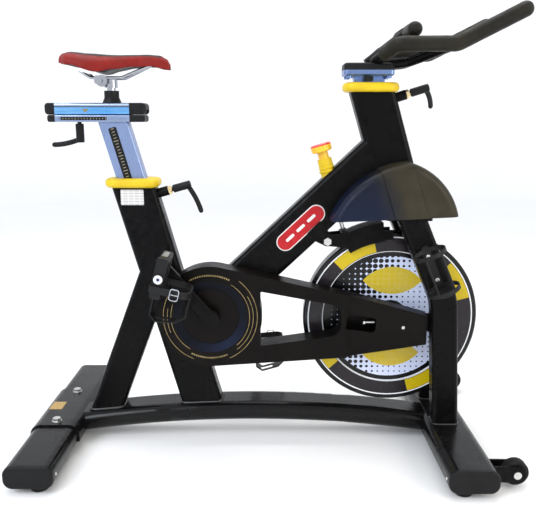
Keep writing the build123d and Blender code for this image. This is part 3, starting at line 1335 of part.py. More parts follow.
def make_grips():
    """Foam sleeves: one along each side tube and horn, and two on the cross grip."""
    sleeves = []
    tubes = handlebar_tubes(FOAM_FIT)
    for side in (-1, 1):
        path = side_path(side, True)
        tip = path @ 1
        sleeve = round_tube(path, FOAM_R) + Pos(*tip) * Sphere(FOAM_R)
        sleeves.append(largest(sleeve - tubes - rod(tip - (path % 1) * 20, tip + (path % 1) * 3, BAR_R + FOAM_FIT)))
        tip_y = side * (CROSS_HALF - FOAM_R)
        inner_y = side * (BAR_R + 9)
        sleeve = across(cross_point, *sorted((inner_y, tip_y)), FOAM_R)
        sleeve += Pos(cross_point.X, tip_y, cross_point.Z) * Sphere(FOAM_R)
        sleeves.append(sleeve - across(cross_point, -CROSS_BAR_HALF - 0.3, CROSS_BAR_HALF + 0.3, BAR_R + FOAM_FIT))
    return group(*sleeves)


# ---- Bottle cage -------------------------------------------------------------------------------
leg_up = (leg_top - leg_bend).normalized()
leg_out_y = -(LEG_Y + LEG_D / 2)


def make_bottle_cage():
    """Hoops and a back strip that hold a bottle against the right fork leg's outer side."""
    t = 3.0
    top = leg_top - leg_up * CAGE_DOWN_LEG
    low = top - leg_up * CAGE_HEIGHT
    back_y = leg_out_y - CLEAR
    strip_plane = Plane(origin=(top.X, back_y, top.Z), x_dir=leg_up, z_dir=(0, -1, 0))
    strip = extrude(strip_plane * (Pos(-CAGE_HEIGHT / 2, 0) * RectangleRounded(CAGE_HEIGHT + 24, 20, 8)), t)
    body = strip
    centre_y = back_y - t - BOTTLE_R
    for point, r in ((top, BOTTLE_R), (low, BOTTLE_R)):
        plane = Plane(origin=(point.X, centre_y, point.Z), x_dir=Y_DIR, z_dir=leg_up)
        hoop = extrude(plane * (Circle(r + t) - Circle(r)), 5, both=True)
        body += hoop
    for angle in (-60, -120):
        across_dir = leg_up.cross(Y_DIR)
        offset = Y_DIR * sin(radians(angle)) * (BOTTLE_R + 1.5) + across_dir * cos(radians(angle)) * (BOTTLE_R + 1.5)
        start = Vector(low.X, centre_y, low.Z) + offset
        end = Vector(top.X, centre_y, top.Z) + offset
        body += rod(start, end, CAGE_WIRE_R)
    shelf_plane = Plane(origin=Vector(low.X, centre_y, low.Z) - leg_up * 7, x_dir=Y_DIR, z_dir=leg_up)
    shelf = extrude(shelf_plane * (Circle(BOTTLE_R + t) & Rectangle(2 * BOTTLE_R + 8, 26)), t)
    return body + shelf


def screw(point, out, r, height):
    """Button-headed screw seen from outside."""
    head = rod(point, point + out * height, r)
    end = head.faces().sort_by_distance(point + out * height)[0]
    return fillet(end.edges(), 0.6 * height)


def make_screws():
    """Small screws: foot caps, guard and bottle cage."""
    pieces = []
    for x, length, inward in ((REAR_FOOT_X, REAR_FOOT_LENGTH, 1), (FRONT_FOOT_X, FRONT_FOOT_LENGTH, -1)):
        for side in (-1, 1):
            at = Vector(x + inward * FOOT_W / 2, side * (length / 2 - 22), FOOT_Z)
            pieces.append(screw(at, Vector(inward, 0, 0), 4, 2.5))
    right = Vector(0, -1, 0)
    guard_screw = Vector(CRANK_X + 484, -GUARD_FRONT_Y, CRANK_Z - 31)
    pieces.append(screw(guard_screw, right, 4.5, 2.5))
    back_y = leg_out_y - CLEAR - 3
    for share in (0.16, 0.82):
        at = leg_top - leg_up * (CAGE_DOWN_LEG + share * CAGE_HEIGHT)
        pieces.append(screw(Vector(at.X, back_y, at.Z), right, 5, 3))
    return pieces


def make_foot_bolts():
    pieces = []
    for side in (-1, 1):
        y = side * FOOT_BOLT_SPACING / 2
        low = Vector(REAR_FOOT_X, y, FOOT_Z + FOOT_H / 2 - 8)
        seat = Vector(REAR_FOOT_X, y, FOOT_Z + FOOT_H / 2 + FOOT_PLATE_T)
        bolt = rod(low, seat, FOOT_BOLT_R)
        bolt += rod(seat, seat + Vector(0, 0, 2), FOOT_BOLT_HEAD_R + 2)
        bolt += extrude(Plane(origin=seat + Vector(0, 0, 2)) * RegularPolygon(FOOT_BOLT_HEAD_R, 6), 7)
        pieces.append(bolt)
    return pieces


handlebar_solid = handlebar_tubes(0)

PARTS = {
    "seat_tube": make_seat_tube(),
    "rear_strut": make_rear_strut(),
    "down_tube": make_down_tube(),
    "head_tube": make_head_tube(),
    "fork_leg_right": make_fork_leg(-1),
    "fork_leg_left": make_fork_leg(1),
    "base_beam": make_base_beam(),
    "rear_foot": make_rear_foot(),
    "front_foot": make_foot(FRONT_FOOT_X, FRONT_FOOT_LENGTH),
    "rear_foot_plate": make_foot_plate(),
    "foot_end_caps": make_foot_caps(),
    "rubber_pads": make_rubber_pads(),
    "transport_brackets": make_transport_brackets(),
    "transport_wheel_right": make_transport_wheel(-1),
    "transport_wheel_left": make_transport_wheel(1),
    "bottom_bracket": make_bottom_bracket(),
    "bearings": make_bearings(),
    "crank_spindle": make_spindle(),
    "drive_pulley": make_drive_pulley(),
    "drive_belt": make_belt(),
    "crank_right": make_crank(-1),
    "crank_left": make_crank(1),
    "pedal_right": make_pedal(-1),
    "pedal_left": make_pedal(1),
    "toe_cage_right": make_toe_cage(-1),
    "toe_cage_left": make_toe_cage(1),
    "flywheel": make_flywheel(),
    "driven_pulley": make_driven_pulley(),
    "flywheel_axle": make_flywheel_axle(),
    "axle_dropouts": make_dropouts(),
    "guard_outer": make_guard_outer(),
    "guard_inner": make_guard_inner(),
    "fender": make_fender(),
    "brake_caliper": make_brake_caliper(),
    "brake_magnets": make_brake_magnets(),
    "brake_rod": make_brake_rod(),
    "knob_housing": make_knob_housing(),
    "resistance_knob": make_knob(),
    "tube_collars": make_collars(),
    "lock_nuts": make_lock_nuts(),
    "seat_clamp_lever": make_tube_lever(seat_boss_point, seat_boss_out, SEAT_UP, 0),
    "head_clamp_lever": make_tube_lever(head_boss_point, head_boss_out, HEAD_UP, 48),
    "slide_clamp_lever": make_slide_lever(),
    "seat_post": make_seat_post(),
    "slide_rail": make_slide_rail(),
    "rail_end_caps": make_rail_caps(),
    "saddle_carriage": make_carriage(),
    "carriage_end_caps": make_carriage_caps(),
    "saddle_socket": make_saddle_socket(),
    "saddle_pin": make_saddle_pin(),
    "saddle_clamp": make_saddle_clamp(),
    "saddle_rails": make_saddle_rails(),
    "saddle": make_saddle(),
    "handlebar_post": make_handlebar_post(),
    "handlebar_mount": make_handlebar_mount(),
    "handlebar": handlebar_solid,
    "handlebar_grips": make_grips(),
    "bottle_cage": make_bottle_cage(),
    "frame_lugs": group(*make_brake_bracket(), *make_clamp_bosses()),
    "frame_bolts": group(*make_axle_nuts(), *make_foot_bolts(), *make_transport_axles(), make_brake_pivot(),
                         *make_screws()),
}

os.makedirs("parts", exist_ok=True)
for name, shape in PARTS.items():
    export_step(shape, f"parts/{name}.step")
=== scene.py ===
import json
import math

import bmesh
import bpy
from mathutils import Matrix, Vector


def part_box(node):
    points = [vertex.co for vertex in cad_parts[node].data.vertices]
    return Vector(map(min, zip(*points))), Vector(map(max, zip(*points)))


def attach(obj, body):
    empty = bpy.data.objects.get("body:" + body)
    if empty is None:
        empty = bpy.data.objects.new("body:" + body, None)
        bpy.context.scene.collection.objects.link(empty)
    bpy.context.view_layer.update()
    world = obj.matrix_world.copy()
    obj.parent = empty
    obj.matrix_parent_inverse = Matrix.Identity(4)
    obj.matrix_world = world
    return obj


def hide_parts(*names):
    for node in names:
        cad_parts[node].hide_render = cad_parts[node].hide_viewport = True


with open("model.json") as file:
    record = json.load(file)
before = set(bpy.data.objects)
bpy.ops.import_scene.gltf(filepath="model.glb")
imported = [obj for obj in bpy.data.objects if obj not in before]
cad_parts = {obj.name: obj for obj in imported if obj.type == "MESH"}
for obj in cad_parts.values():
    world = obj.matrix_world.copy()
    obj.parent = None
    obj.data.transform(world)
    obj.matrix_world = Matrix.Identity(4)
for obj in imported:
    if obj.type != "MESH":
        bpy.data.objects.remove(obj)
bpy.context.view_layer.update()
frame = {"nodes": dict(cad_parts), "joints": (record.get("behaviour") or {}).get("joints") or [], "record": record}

NODES = frame["nodes"]
JOINTS = {joint["name"]: joint for joint in frame["joints"]}
MM = 0.001


def joint_place(name):
    """A joint's point and unit axis in the row frame."""
    joint = JOINTS[name]
    return Vector(joint["pos_m"]), Vector(joint["axis"]).normalized()


crank_centre, _ = joint_place("crank_spin")
flywheel_centre, _ = joint_place("flywheel_spin")
seat_top, seat_up = joint_place("seat_height")
bar_foot, _ = joint_place("handlebar_height")
knob_foot, knob_up = joint_place("knob_turn")


# ---- Node arithmetic ---------------------------------------------------------------------------
class Value:
    """A shader socket or a number that can be combined with + - * / and compared."""

    def __init__(self, tree, socket):
        self.tree = tree
        self.socket = socket

    def node(self, operation, *others):
        math_node = self.tree.nodes.new("ShaderNodeMath")
        math_node.operation = operation
        for index, item in enumerate((self, *others)):
            if isinstance(item, Value):
                self.tree.links.new(item.socket, math_node.inputs[index])
            else:
                math_node.inputs[index].default_value = item
        return Value(self.tree, math_node.outputs[0])

    def __add__(self, other):
        return self.node("ADD", other)

    def __sub__(self, other):
        return self.node("SUBTRACT", other)

    def __mul__(self, other):
        return self.node("MULTIPLY", other)

    def __truediv__(self, other):
        return self.node("DIVIDE", other)

    def below(self, other):
        return self.node("LESS_THAN", other)

    def above(self, other):
        return self.node("GREATER_THAN", other)

    def between(self, low, high):
        return self.above(low) * self.below(high)

    def either(self, other):
        return self.node("MAXIMUM", other)

    def inverted(self):
        return (self * -1.0) + 1.0

    def fraction(self):
        return self.node("FRACT")

    def size(self, other):
        """Length of the two-dimensional vector (self, other)."""
        return (self * self + other * other).node("SQRT")


class Paint:
    """One procedural material: a Principled shader and the usual ways of varying it."""

    def __init__(self, name, colour, roughness=0.4, metallic=0.0, specular=0.5, coat=0.0, coat_roughness=0.1,
                 sheen=0.0):
        self.material = bpy.data.materials.new(name)
        self.material.use_nodes = True
        self.tree = self.material.node_tree
        self.shader = self.tree.nodes["Principled BSDF"]
        inputs = self.shader.inputs
        inputs["Base Color"].default_value = (*colour, 1)
        inputs["Roughness"].default_value = roughness
        inputs["Metallic"].default_value = metallic
        inputs["Specular IOR Level"].default_value = specular
        inputs["Coat Weight"].default_value = coat
        inputs["Coat Roughness"].default_value = coat_roughness
        inputs["Sheen Weight"].default_value = sheen
        self.place = self.tree.nodes.new("ShaderNodeTexCoord").outputs["Object"]
        self.colour = self.constant(colour)
        self.height = None

    def constant(self, colour):
        node = self.tree.nodes.new("ShaderNodeRGB")
        node.outputs[0].default_value = (*colour, 1)
        return node.outputs[0]

    def link(self, source, target):
        self.tree.links.new(source, target)

    def coordinates(self):
        split = self.tree.nodes.new("ShaderNodeSeparateXYZ")
        self.link(self.place, split.inputs[0])
        return [Value(self.tree, split.outputs[k]) for k in range(3)]

    def stretched(self, scale):
        """Object coordinates multiplied by a scale for each axis."""
        mapping = self.tree.nodes.new("ShaderNodeMapping")
        mapping.inputs["Scale"].default_value = scale
        self.link(self.place, mapping.inputs["Vector"])
        return mapping.outputs[0]

    def noise(self, scale, detail=3.0, roughness=0.5, stretch=None):
        node = self.tree.nodes.new("ShaderNodeTexNoise")
        node.inputs["Scale"].default_value = scale
        node.inputs["Detail"].default_value = detail
        node.inputs["Roughness"].default_value = roughness
        self.link(self.stretched(stretch) if stretch else self.place, node.inputs["Vector"])
        return Value(self.tree, node.outputs["Fac"])

    def voronoi(self, scale, feature="F1", stretch=None):
        node = self.tree.nodes.new("ShaderNodeTexVoronoi")
        node.feature = feature
        node.inputs["Scale"].default_value = scale
        self.link(self.stretched(stretch) if stretch else self.place, node.inputs["Vector"])
        return Value(self.tree, node.outputs["Distance"])

    def ramp(self, value, low, high, out_low=0.0, out_high=1.0):
        node = self.tree.nodes.new("ShaderNodeMapRange")
        node.inputs["From Min"].default_value = low
        node.inputs["From Max"].default_value = high
        node.inputs["To Min"].default_value = out_low
        node.inputs["To Max"].default_value = out_high
        self.link(value.socket, node.inputs["Value"])
        return Value(self.tree, node.outputs["Result"])

    def edges(self, sharp=0.56, soft=0.66):
        """Close to 1 on convex edges, 0 elsewhere."""
        geometry = self.tree.nodes.new("ShaderNodeNewGeometry")
        return self.ramp(Value(self.tree, geometry.outputs["Pointiness"]), sharp, soft)

    def upward(self):
        """1 where the surface faces straight up."""
        split = self.tree.nodes.new("ShaderNodeSeparateXYZ")
        coordinates = self.tree.nodes.new("ShaderNodeTexCoord")
        self.link(coordinates.outputs["Normal"], split.inputs[0])
        return Value(self.tree, split.outputs[2])

    def tint(self, colour, mask):
        """Blends a colour in where the mask is 1."""
        mix = self.tree.nodes.new("ShaderNodeMix")
        mix.data_type = "RGBA"
        self.link(mask.socket, mix.inputs["Factor"])
        self.link(self.colour, mix.inputs["A"])
        self.link(self.constant(colour), mix.inputs["B"])
        self.colour = mix.outputs["Result"]
        self.link(self.colour, self.shader.inputs["Base Color"])

    def rough(self, value, low, high):
        """Roughness that wanders between low and high with a noise."""
        self.link(self.ramp(value, 0.3, 0.7, low, high).socket, self.shader.inputs["Roughness"])

    def bump(self, value, strength, distance):
        node = self.tree.nodes.new("ShaderNodeBump")
        node.inputs["Strength"].default_value = strength
        node.inputs["Distance"].default_value = distance
        self.link(value.socket, node.inputs["Height"])
        if self.height is not None:
            self.link(self.height, node.inputs["Normal"])
        self.height = node.outputs["Normal"]
        self.link(self.height, self.shader.inputs["Normal"])


# ---- Materials ---------------------------------------------------------------------------------
BLACK = (0.0022, 0.0022, 0.0026)
DUST = (0.16, 0.15, 0.14)
WHITE = (0.82, 0.83, 0.86)
YELLOW = (0.58, 0.43, 0.006)
GOLD = (0.50, 0.38, 0.17)


def black_paint(name, low=0.22, high=0.36, dust=0.05, gloss=0.08):
    """Powder coat: orange peel, slight colour change, dust on top faces, light wear on edges."""
    paint = Paint(name, BLACK, specular=gloss)
    patches = paint.noise(9, 4)
    paint.tint((0.0034, 0.0031, 0.0028), paint.ramp(patches, 0.35, 0.7))
    worn = paint.edges() * paint.ramp(paint.noise(60, 3), 0.45, 0.7)
    paint.tint((0.016, 0.016, 0.018), worn * 0.5)
    dusty = paint.ramp(paint.upward(), 0.75, 1.0) * paint.ramp(paint.noise(35, 6, 0.7), 0.4, 0.75)
    paint.tint(DUST, dusty * dust * 0.35)
    paint.rough(paint.noise(22, 5, 0.6), low, high)
    paint.bump(paint.noise(1400, 2), 0.12, 0.0002)
    paint.bump(paint.noise(160, 2), 0.05, 0.0006)
    return paint.material


def moulded(name, colour, low, high, grain=2600.0, strength=0.18):
    """Moulded plastic: fine spark-eroded grain and slightly uneven gloss."""
    paint = Paint(name, colour, specular=0.5 if max(colour) > 0.1 else 0.2)
    paint.tint(tuple(c * 1.5 for c in colour), paint.ramp(paint.noise(14, 4), 0.4, 0.75) * 0.6)
    lighter = tuple(min(1, c * 2 + 0.004) for c in colour)
    paint.tint(lighter, paint.ramp(paint.noise(180, 5, 0.7), 0.6, 0.8) * 0.4)
    paint.rough(paint.noise(40, 4, 0.6), low, high)
    paint.bump(paint.noise(grain, 2), strength, 0.0002)
    return paint.material


def brushed(name, colour, stretch, low=0.22, high=0.42, cool=(0.42, 0.55, 0.78)):
    """Brushed and anodised aluminium: long fine scratches along one axis."""
    paint = Paint(name, colour, metallic=1.0)
    streaks = paint.noise(420, 4, 0.7, stretch)
    paint.tint(tuple(c * 0.72 for c in colour), paint.ramp(streaks, 0.35, 0.7) * 0.5)
    paint.tint(cool, paint.ramp(paint.noise(4, 2), 0.35, 0.7) * 0.28)
    paint.tint((0.55, 0.60, 0.70), paint.edges() * 0.35)
    paint.rough(streaks, low, high)
    paint.bump(streaks, 0.14, 0.00015)
    return paint.material


def steel(name, colour=(0.60, 0.60, 0.58), low=0.2, high=0.42, tarnish=(0.30, 0.26, 0.20)):
    """Plated or ground steel with faint tarnish."""
    paint = Paint(name, colour, metallic=1.0)
    paint.tint(tarnish, paint.ramp(paint.noise(120, 5, 0.65), 0.5, 0.8) * 0.5)
    paint.rough(paint.noise(300, 4), low, high)
    paint.bump(paint.noise(900, 3), 0.08, 0.0002)
    return paint.material


def chrome(name):
    """Polished chrome with a few dull specks."""
    paint = Paint(name, (0.40, 0.42, 0.46), metallic=1.0)
    paint.tint((0.22, 0.21, 0.20), paint.ramp(paint.noise(180, 5, 0.7), 0.55, 0.8) * 0.5)
    paint.rough(paint.noise(150, 4), 0.05, 0.13)
    paint.bump(paint.noise(700, 2), 0.02, 0.0002)
    return paint.material


def rubber(name, colour=(0.005, 0.005, 0.005), grain=900.0):
    """Matte rubber, paler where dust holds."""
    paint = Paint(name, colour, specular=0.2)
    paint.tint((0.03, 0.029, 0.027), paint.ramp(paint.noise(50, 5, 0.7), 0.45, 0.75) * 0.4)
    paint.rough(paint.noise(60, 4), 0.55, 0.8)
    paint.bump(paint.noise(grain, 3), 0.3, 0.0003)
    return paint.material


def foam(name):
    """Closed-cell foam sleeve: tiny cells, soft sheen, olive-black."""
    paint = Paint(name, (0.0060, 0.0052, 0.0028), specular=0.2, sheen=0.02)
    paint.tint((0.0150, 0.0130, 0.0058), paint.ramp(paint.noise(18, 4), 0.4, 0.7))
    paint.tint((0.006, 0.006, 0.005), paint.ramp(paint.voronoi(1500), 0.0, 0.25).inverted() * 0.6)
    paint.rough(paint.noise(80, 3), 0.42, 0.62)
    paint.bump(paint.voronoi(1500), 0.35, 0.0004)
    return paint.material


def leather(name, colour, dark):
    """Fine-grained synthetic leather with pebbled bump and darker patches at random."""
    paint = Paint(name, colour, specular=0.2)
    paint.tint(dark, paint.ramp(paint.noise(11, 5, 0.6), 0.45, 0.8) * 0.6)
    pebbles = paint.voronoi(850, "DISTANCE_TO_EDGE")
    paint.tint(dark, paint.ramp(pebbles, 0.0, 0.06).inverted() * 0.55)
    paint.rough(paint.noise(70, 4), 0.34, 0.52)
    paint.bump(paint.ramp(pebbles, 0.0, 0.2), 0.35, 0.0004)
    paint.bump(paint.noise(60, 4), 0.12, 0.0015)
    return paint.material


def accent_plastic(name):
    """Yellow bumper and knob plastic, a little soiled."""
    paint = Paint(name, (0.66, 0.47, 0.006), specular=0.35)
    paint.tint((0.52, 0.33, 0.008), paint.ramp(paint.noise(24, 5, 0.6), 0.42, 0.75) * 0.7)
    paint.tint((0.25, 0.17, 0.04), paint.ramp(paint.noise(160, 6, 0.75), 0.6, 0.85) * 0.5)
    paint.rough(paint.noise(60, 4), 0.32, 0.55)
    paint.bump(paint.noise(1100, 3), 0.16, 0.0003)
    return paint.material


KNOB_CAP_T = 0.0045
knob_top_along = max((v.co - knob_foot).dot(knob_up) for v in NODES["resistance_knob"].data.vertices)


def knob_material():
    """Red cap on a yellow rim and neck."""
    paint = Paint("knob_cap", (0.80, 0.50, 0.015), specular=0.5, coat=0.3)
    x, _, z = paint.coordinates()
    along = (x - knob_foot.x) * knob_up.x + (z - knob_foot.z) * knob_up.z
    paint.tint((0.72, 0.30, 0.010), paint.ramp(paint.noise(30, 4), 0.4, 0.7) * 0.7)
    red = along.above(knob_top_along - KNOB_CAP_T)
    paint.tint((0.60, 0.020, 0.012), red)
    paint.tint((0.4, 0.012, 0.008), red * paint.ramp(paint.noise(60, 5), 0.5, 0.8) * 0.6)
    paint.rough(paint.noise(90, 4), 0.2, 0.4)
    paint.bump(paint.noise(1200, 2), 0.08, 0.0002)
    return paint.material


def around(paint, centre):
    """Side-view offsets from a centre, the distance, and the angle above +X in degrees."""
    x, _, z = paint.coordinates()
    dx = x - centre.x
    dz = z - centre.z
    return dx, dz, dx.size(dz), dz.node("ARCTAN2", dx) * (180 / math.pi)


BAND_IN, BAND_OUT = 0.1775, 0.2095      # band of the flywheel print that holds the yellow blocks
YELLOW_BLOCKS = ((-165, -138), (-75, -50), (15, 44), (103, 135))
HALFTONE_R = 0.162
DOT_PITCH_X, DOT_PITCH_Z = 14.6 * MM, 13.6 * MM
LENS_OFF, LENS_HALF, LENS_ARC_R = 0.098, 0.062, 0.098
HUB_R = 0.046


def flywheel_material():
    """Black wheel with printed faces: two white rings, yellow blocks between, halftone dots and lenses."""
    paint = Paint("flywheel_print", (0.0025, 0.0025, 0.003), specular=0.25, coat=0.08, coat_roughness=0.12)
    dx, dz, r, angle = around(paint, flywheel_centre)
    band = r.between(BAND_IN, BAND_OUT)
    paint.tint((0.013, 0.010, 0.013), band)
    blocks = angle.between(*YELLOW_BLOCKS[0])
    for stretch in YELLOW_BLOCKS[1:]:
        blocks = blocks.either(angle.between(*stretch))
    wear = paint.ramp(paint.noise(45, 5, 0.6), 0.3, 0.75, 0.94, 1.0)
    paint.tint(YELLOW, band * blocks * wear)
    rings = r.between(0.2105, 0.2135).either(r.between(0.1735, 0.1762))
    paint.tint(WHITE, rings)
    column = ((dx / DOT_PITCH_X) + 40.3).fraction() - 0.5
    line = ((dz / DOT_PITCH_Z) + 40.5).fraction() - 0.5
    towards_back = (((dx * -0.8) + (dz * 0.25) + 0.02) / 0.11).node("MAXIMUM", 0.0)
    dot = towards_back * 0.39 + 0.15
    halftone = column.size(line).above(dot) * r.below(HALFTONE_R)
    paint.tint((0.62, 0.68, 0.88), halftone)
    for lens_z in (LENS_OFF, -LENS_OFF):
        upper = (dx - 0.004).size(dz - (lens_z - LENS_HALF)).below(LENS_ARC_R)
        lower = (dx - 0.004).size(dz - (lens_z + LENS_HALF)).below(LENS_ARC_R)
        paint.tint(YELLOW, upper * lower * wear)
    paint.tint((0.012, 0.012, 0.013), r.below(HUB_R))
    paint.rough(paint.noise(50, 4), 0.14, 0.3)
    paint.bump(paint.noise(700, 2), 0.04, 0.0002)
    return paint.material


def guard_material():
    """Satin black cover with thin gold rings printed round the cranks, a painted blue reflection and highlight in
    the recessed ring, a painted shade line at the recess foot and a dark line round the centre cap.
    """
    paint = Paint("guard_print_and_painted_reflection", (0.0030, 0.0024, 0.0020), specular=0.09)
    paint.tint((0.0062, 0.0046, 0.0038), paint.ramp(paint.noise(10, 4), 0.4, 0.75))
    paint.tint((0.012, 0.010, 0.008), paint.ramp(paint.noise(90, 5, 0.7), 0.6, 0.8) * 0.5)
    _, _, r, angle = around(paint, crank_centre)
    cone = r.between(0.0715, 0.092)
    # Painted blue reflection over the sloped recess ring.
    paint.tint((0.0035, 0.0045, 0.0085), cone)
    # Brighter painted highlight on the lower right of the recess ring.
    paint.tint((0.010, 0.015, 0.036), cone * paint.ramp(angle, -130, -60) * paint.ramp(angle, 0, -60) * 0.9)
    # Painted shade line at the foot of the recess, and a dark line round the centre cap.
    paint.tint((0.0008, 0.0008, 0.0008), r.between(0.0695, 0.0718).either(r.between(0.0250, 0.0268)))
    front = paint.coordinates()[1].below(crank_centre.y - 0.0865)
    inner = angle.between(-48, 58).either(angle.above(160)).either(angle.below(-122))
    inner = inner * r.between(0.0977, 0.0985)
    middle = angle.between(-52, 30).either(angle.above(168)).either(angle.below(-158))
    middle = middle * r.between(0.1067, 0.1075)
    outer = angle.between(-66, 52).either(angle.above(150)).either(angle.below(-112))
    outer = outer * r.between(0.1167, 0.1175)
    ticks = ((angle / 3.0) + 200.0).fraction().below(0.55) * r.between(0.1045, 0.1085)
    ticks = ticks * angle.between(62, 118).either(angle.between(-118, -66))
    marks = inner.either(middle).either(outer).either(ticks * 0.7)
    paint.tint(GOLD, marks * front * paint.ramp(paint.noise(70, 4), 0.3, 0.6, 0.55, 1.0))
    paint.rough(paint.noise(24, 5, 0.6), 0.30, 0.48)
    paint.bump(paint.noise(1800, 2), 0.12, 0.0002)
    return paint.material


def webbing(name):
    """Pedal plastic and strap: fine cross weave over dark nylon."""
    paint = Paint(name, (0.0045, 0.0045, 0.005), specular=0.25)
    x, y, z = paint.coordinates()
    weave = ((y * 900.0).node("SINE") * ((z + x) * 900.0).node("SINE"))
    paint.tint((0.018, 0.018, 0.017), paint.ramp(weave, 0.2, 0.9) * 0.5)
    paint.tint((0.02, 0.019, 0.018), paint.ramp(paint.noise(120, 5, 0.7), 0.6, 0.8) * 0.4)
    paint.rough(paint.noise(60, 4), 0.4, 0.62)
    paint.bump(weave, 0.15, 0.0003)
    return paint.material


def fender_material():
    """Satin black shell with painted reflections: cool blue behind and bluer towards the bottom, warm over the
    raised band and the front.
    """
    # The blue in the base colour is a painted cool reflection on black plastic.
    paint = Paint("fender_shell", (0.0035, 0.0050, 0.0120), specular=0.16)
    x, _, z = paint.coordinates()
    low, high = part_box("fender")
    slant = low.x + low.z * 0.3
    forward = paint.ramp(x + z * 0.3, slant + 0.120, slant + 0.190)
    # Painted warm reflection over the front.
    paint.tint((0.024, 0.020, 0.012), forward)
    downward = paint.ramp(z, high.z - 0.02, low.z + 0.02)
    # Painted cool reflection at the back, bluer towards the bottom.
    paint.tint((0.0050, 0.0095, 0.0270), forward.inverted() * downward * 0.9)
    # Painted warm reflection in patches over the front.
    paint.tint((0.044, 0.038, 0.022), forward * paint.ramp(paint.noise(14, 4), 0.4, 0.75) * 0.7)
    paint.rough(paint.noise(30, 4), 0.30, 0.46)
    paint.bump(paint.noise(1500, 2), 0.14, 0.0002)
    return paint.material


MATERIALS = {
    "frame_paint": black_paint("frame_coat"),
    "black_plastic": moulded("cap_plastic", (0.0045, 0.0045, 0.005), 0.38, 0.6),
    "guard_plastic": guard_material(),
    "rubber": rubber("pad_rubber"),
    "bolt_steel": steel("zinc_steel"),
    "bearing_steel": steel("race_steel", (0.5, 0.5, 0.52), 0.15, 0.3),
    "lock_brass": steel("lock_nut_brass", (0.78, 0.62, 0.34), 0.14, 0.32, (0.5, 0.36, 0.15)),
    "chrome": chrome("polished_chrome"),
    "aluminium": brushed("slider_aluminium", (0.26, 0.32, 0.47), (0.04, 1.0, 1.0), cool=(0.22, 0.34, 0.60)),
    "flywheel_paint": flywheel_material(),
    "pulley_black": black_paint("pulley_coat", 0.3, 0.5),
    "belt_rubber": rubber("belt_face", (0.004, 0.004, 0.004), 1500.0),
    "fender_plastic": fender_material(),
    "yellow_plastic": accent_plastic("bumper_yellow"),
    "knob_red": knob_material(),
    "brake_steel": black_paint("brake_coat", 0.35, 0.55, 0.12),
    "magnet_steel": steel("magnet_plate", (0.68, 0.68, 0.70), 0.2, 0.4),
    "crank_black": black_paint("crank_coat", 0.2, 0.36, 0.08),
    "saddle_leather": leather("hide_red", (0.225, 0.0065, 0.003), (0.07, 0.0025, 0.002)),
    "foam_grip": foam("grip_foam"),
    "cage_black": webbing("cage_plastic"),
}
post_finish = brushed("post_aluminium", (0.15, 0.23, 0.46), (1.0, 1.0, 0.04), cool=(0.16, 0.27, 0.58))
carriage_low, carriage_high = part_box("saddle_carriage")


def carriage_material():
    """Brushed slider with a bright blue anodised band under a dark groove line."""
    paint = Paint("carriage_aluminium", (0.34, 0.42, 0.58), metallic=1.0)
    _, _, z = paint.coordinates()
    streaks = paint.noise(420, 4, 0.7, (0.04, 1.0, 1.0))
    band_top = carriage_high.z - 0.0105
    band = z.below(band_top)
    paint.tint((0.10, 0.36, 0.74), band)
    paint.tint((0.26, 0.50, 0.80), band * paint.ramp(paint.noise(9, 2), 0.45, 0.75))
    paint.tint((0.04, 0.05, 0.08), z.between(band_top, band_top + 0.0025))
    paint.tint((0.10, 0.16, 0.26), z.between(carriage_low.z, carriage_low.z + 0.0012))
    paint.tint((0.30, 0.36, 0.46), paint.ramp(streaks, 0.4, 0.75) * 0.35)
    paint.rough(streaks, 0.2, 0.38)
    paint.bump(streaks, 0.12, 0.00015)
    return paint.material


carriage_finish = carriage_material()
foot_finish = black_paint("foot_coat", 0.16, 0.30, 0.10, 0.22)
fine_black = moulded("deep_black", (0.006, 0.006, 0.006), 0.3, 0.5)

for part in frame["record"]["subparts"]:
    node = NODES[part["node"]]
    finish = MATERIALS[part["material_slot"]]
    if part["node"] in ("seat_post", "handlebar_post"):
        finish = post_finish
    if part["node"] in ("front_foot", "rear_foot", "rear_foot_plate", "base_beam"):
        finish = foot_finish
    if part["node"] == "saddle_carriage":
        finish = carriage_finish
    for index in range(max(1, len(node.material_slots))):
        if index < len(node.material_slots):
            node.material_slots[index].material = finish
        else:
            node.data.materials.append(finish)


# ---- Building pieces ---------------------------------------------------------------------------
def add_piece(name, mesh_builder, material, body, smooth=True):
    """A new mesh object from a bmesh, riding on a body."""
    mesh = bpy.data.meshes.new(name)
    mesh_builder.normal_update()
    mesh_builder.to_mesh(mesh)
    mesh_builder.free()
    piece = bpy.data.objects.new(name, mesh)
    bpy.context.scene.collection.objects.link(piece)
    mesh.materials.append(material)
    for face in mesh.polygons:
        face.use_smooth = smooth
    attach(piece, body)
    return piece


def grid_surface(rows, closed=False, caps=False):
    """Mesh through rows of points; closed joins each row's ends, caps fills the first and last rows."""
    build = bmesh.new()
    made = [[build.verts.new(point) for point in row] for row in rows]
    for near, far in zip(made, made[1:]):
        count = len(near)
        for k in range(count if closed else count - 1):
            following = (k + 1) % count
            build.faces.new((near[k], near[following], far[following], far[k]))
    if caps:
        build.faces.new(list(reversed(made[0])))
        build.faces.new(made[-1])
    bmesh.ops.recalc_face_normals(build, faces=build.faces)
    return build


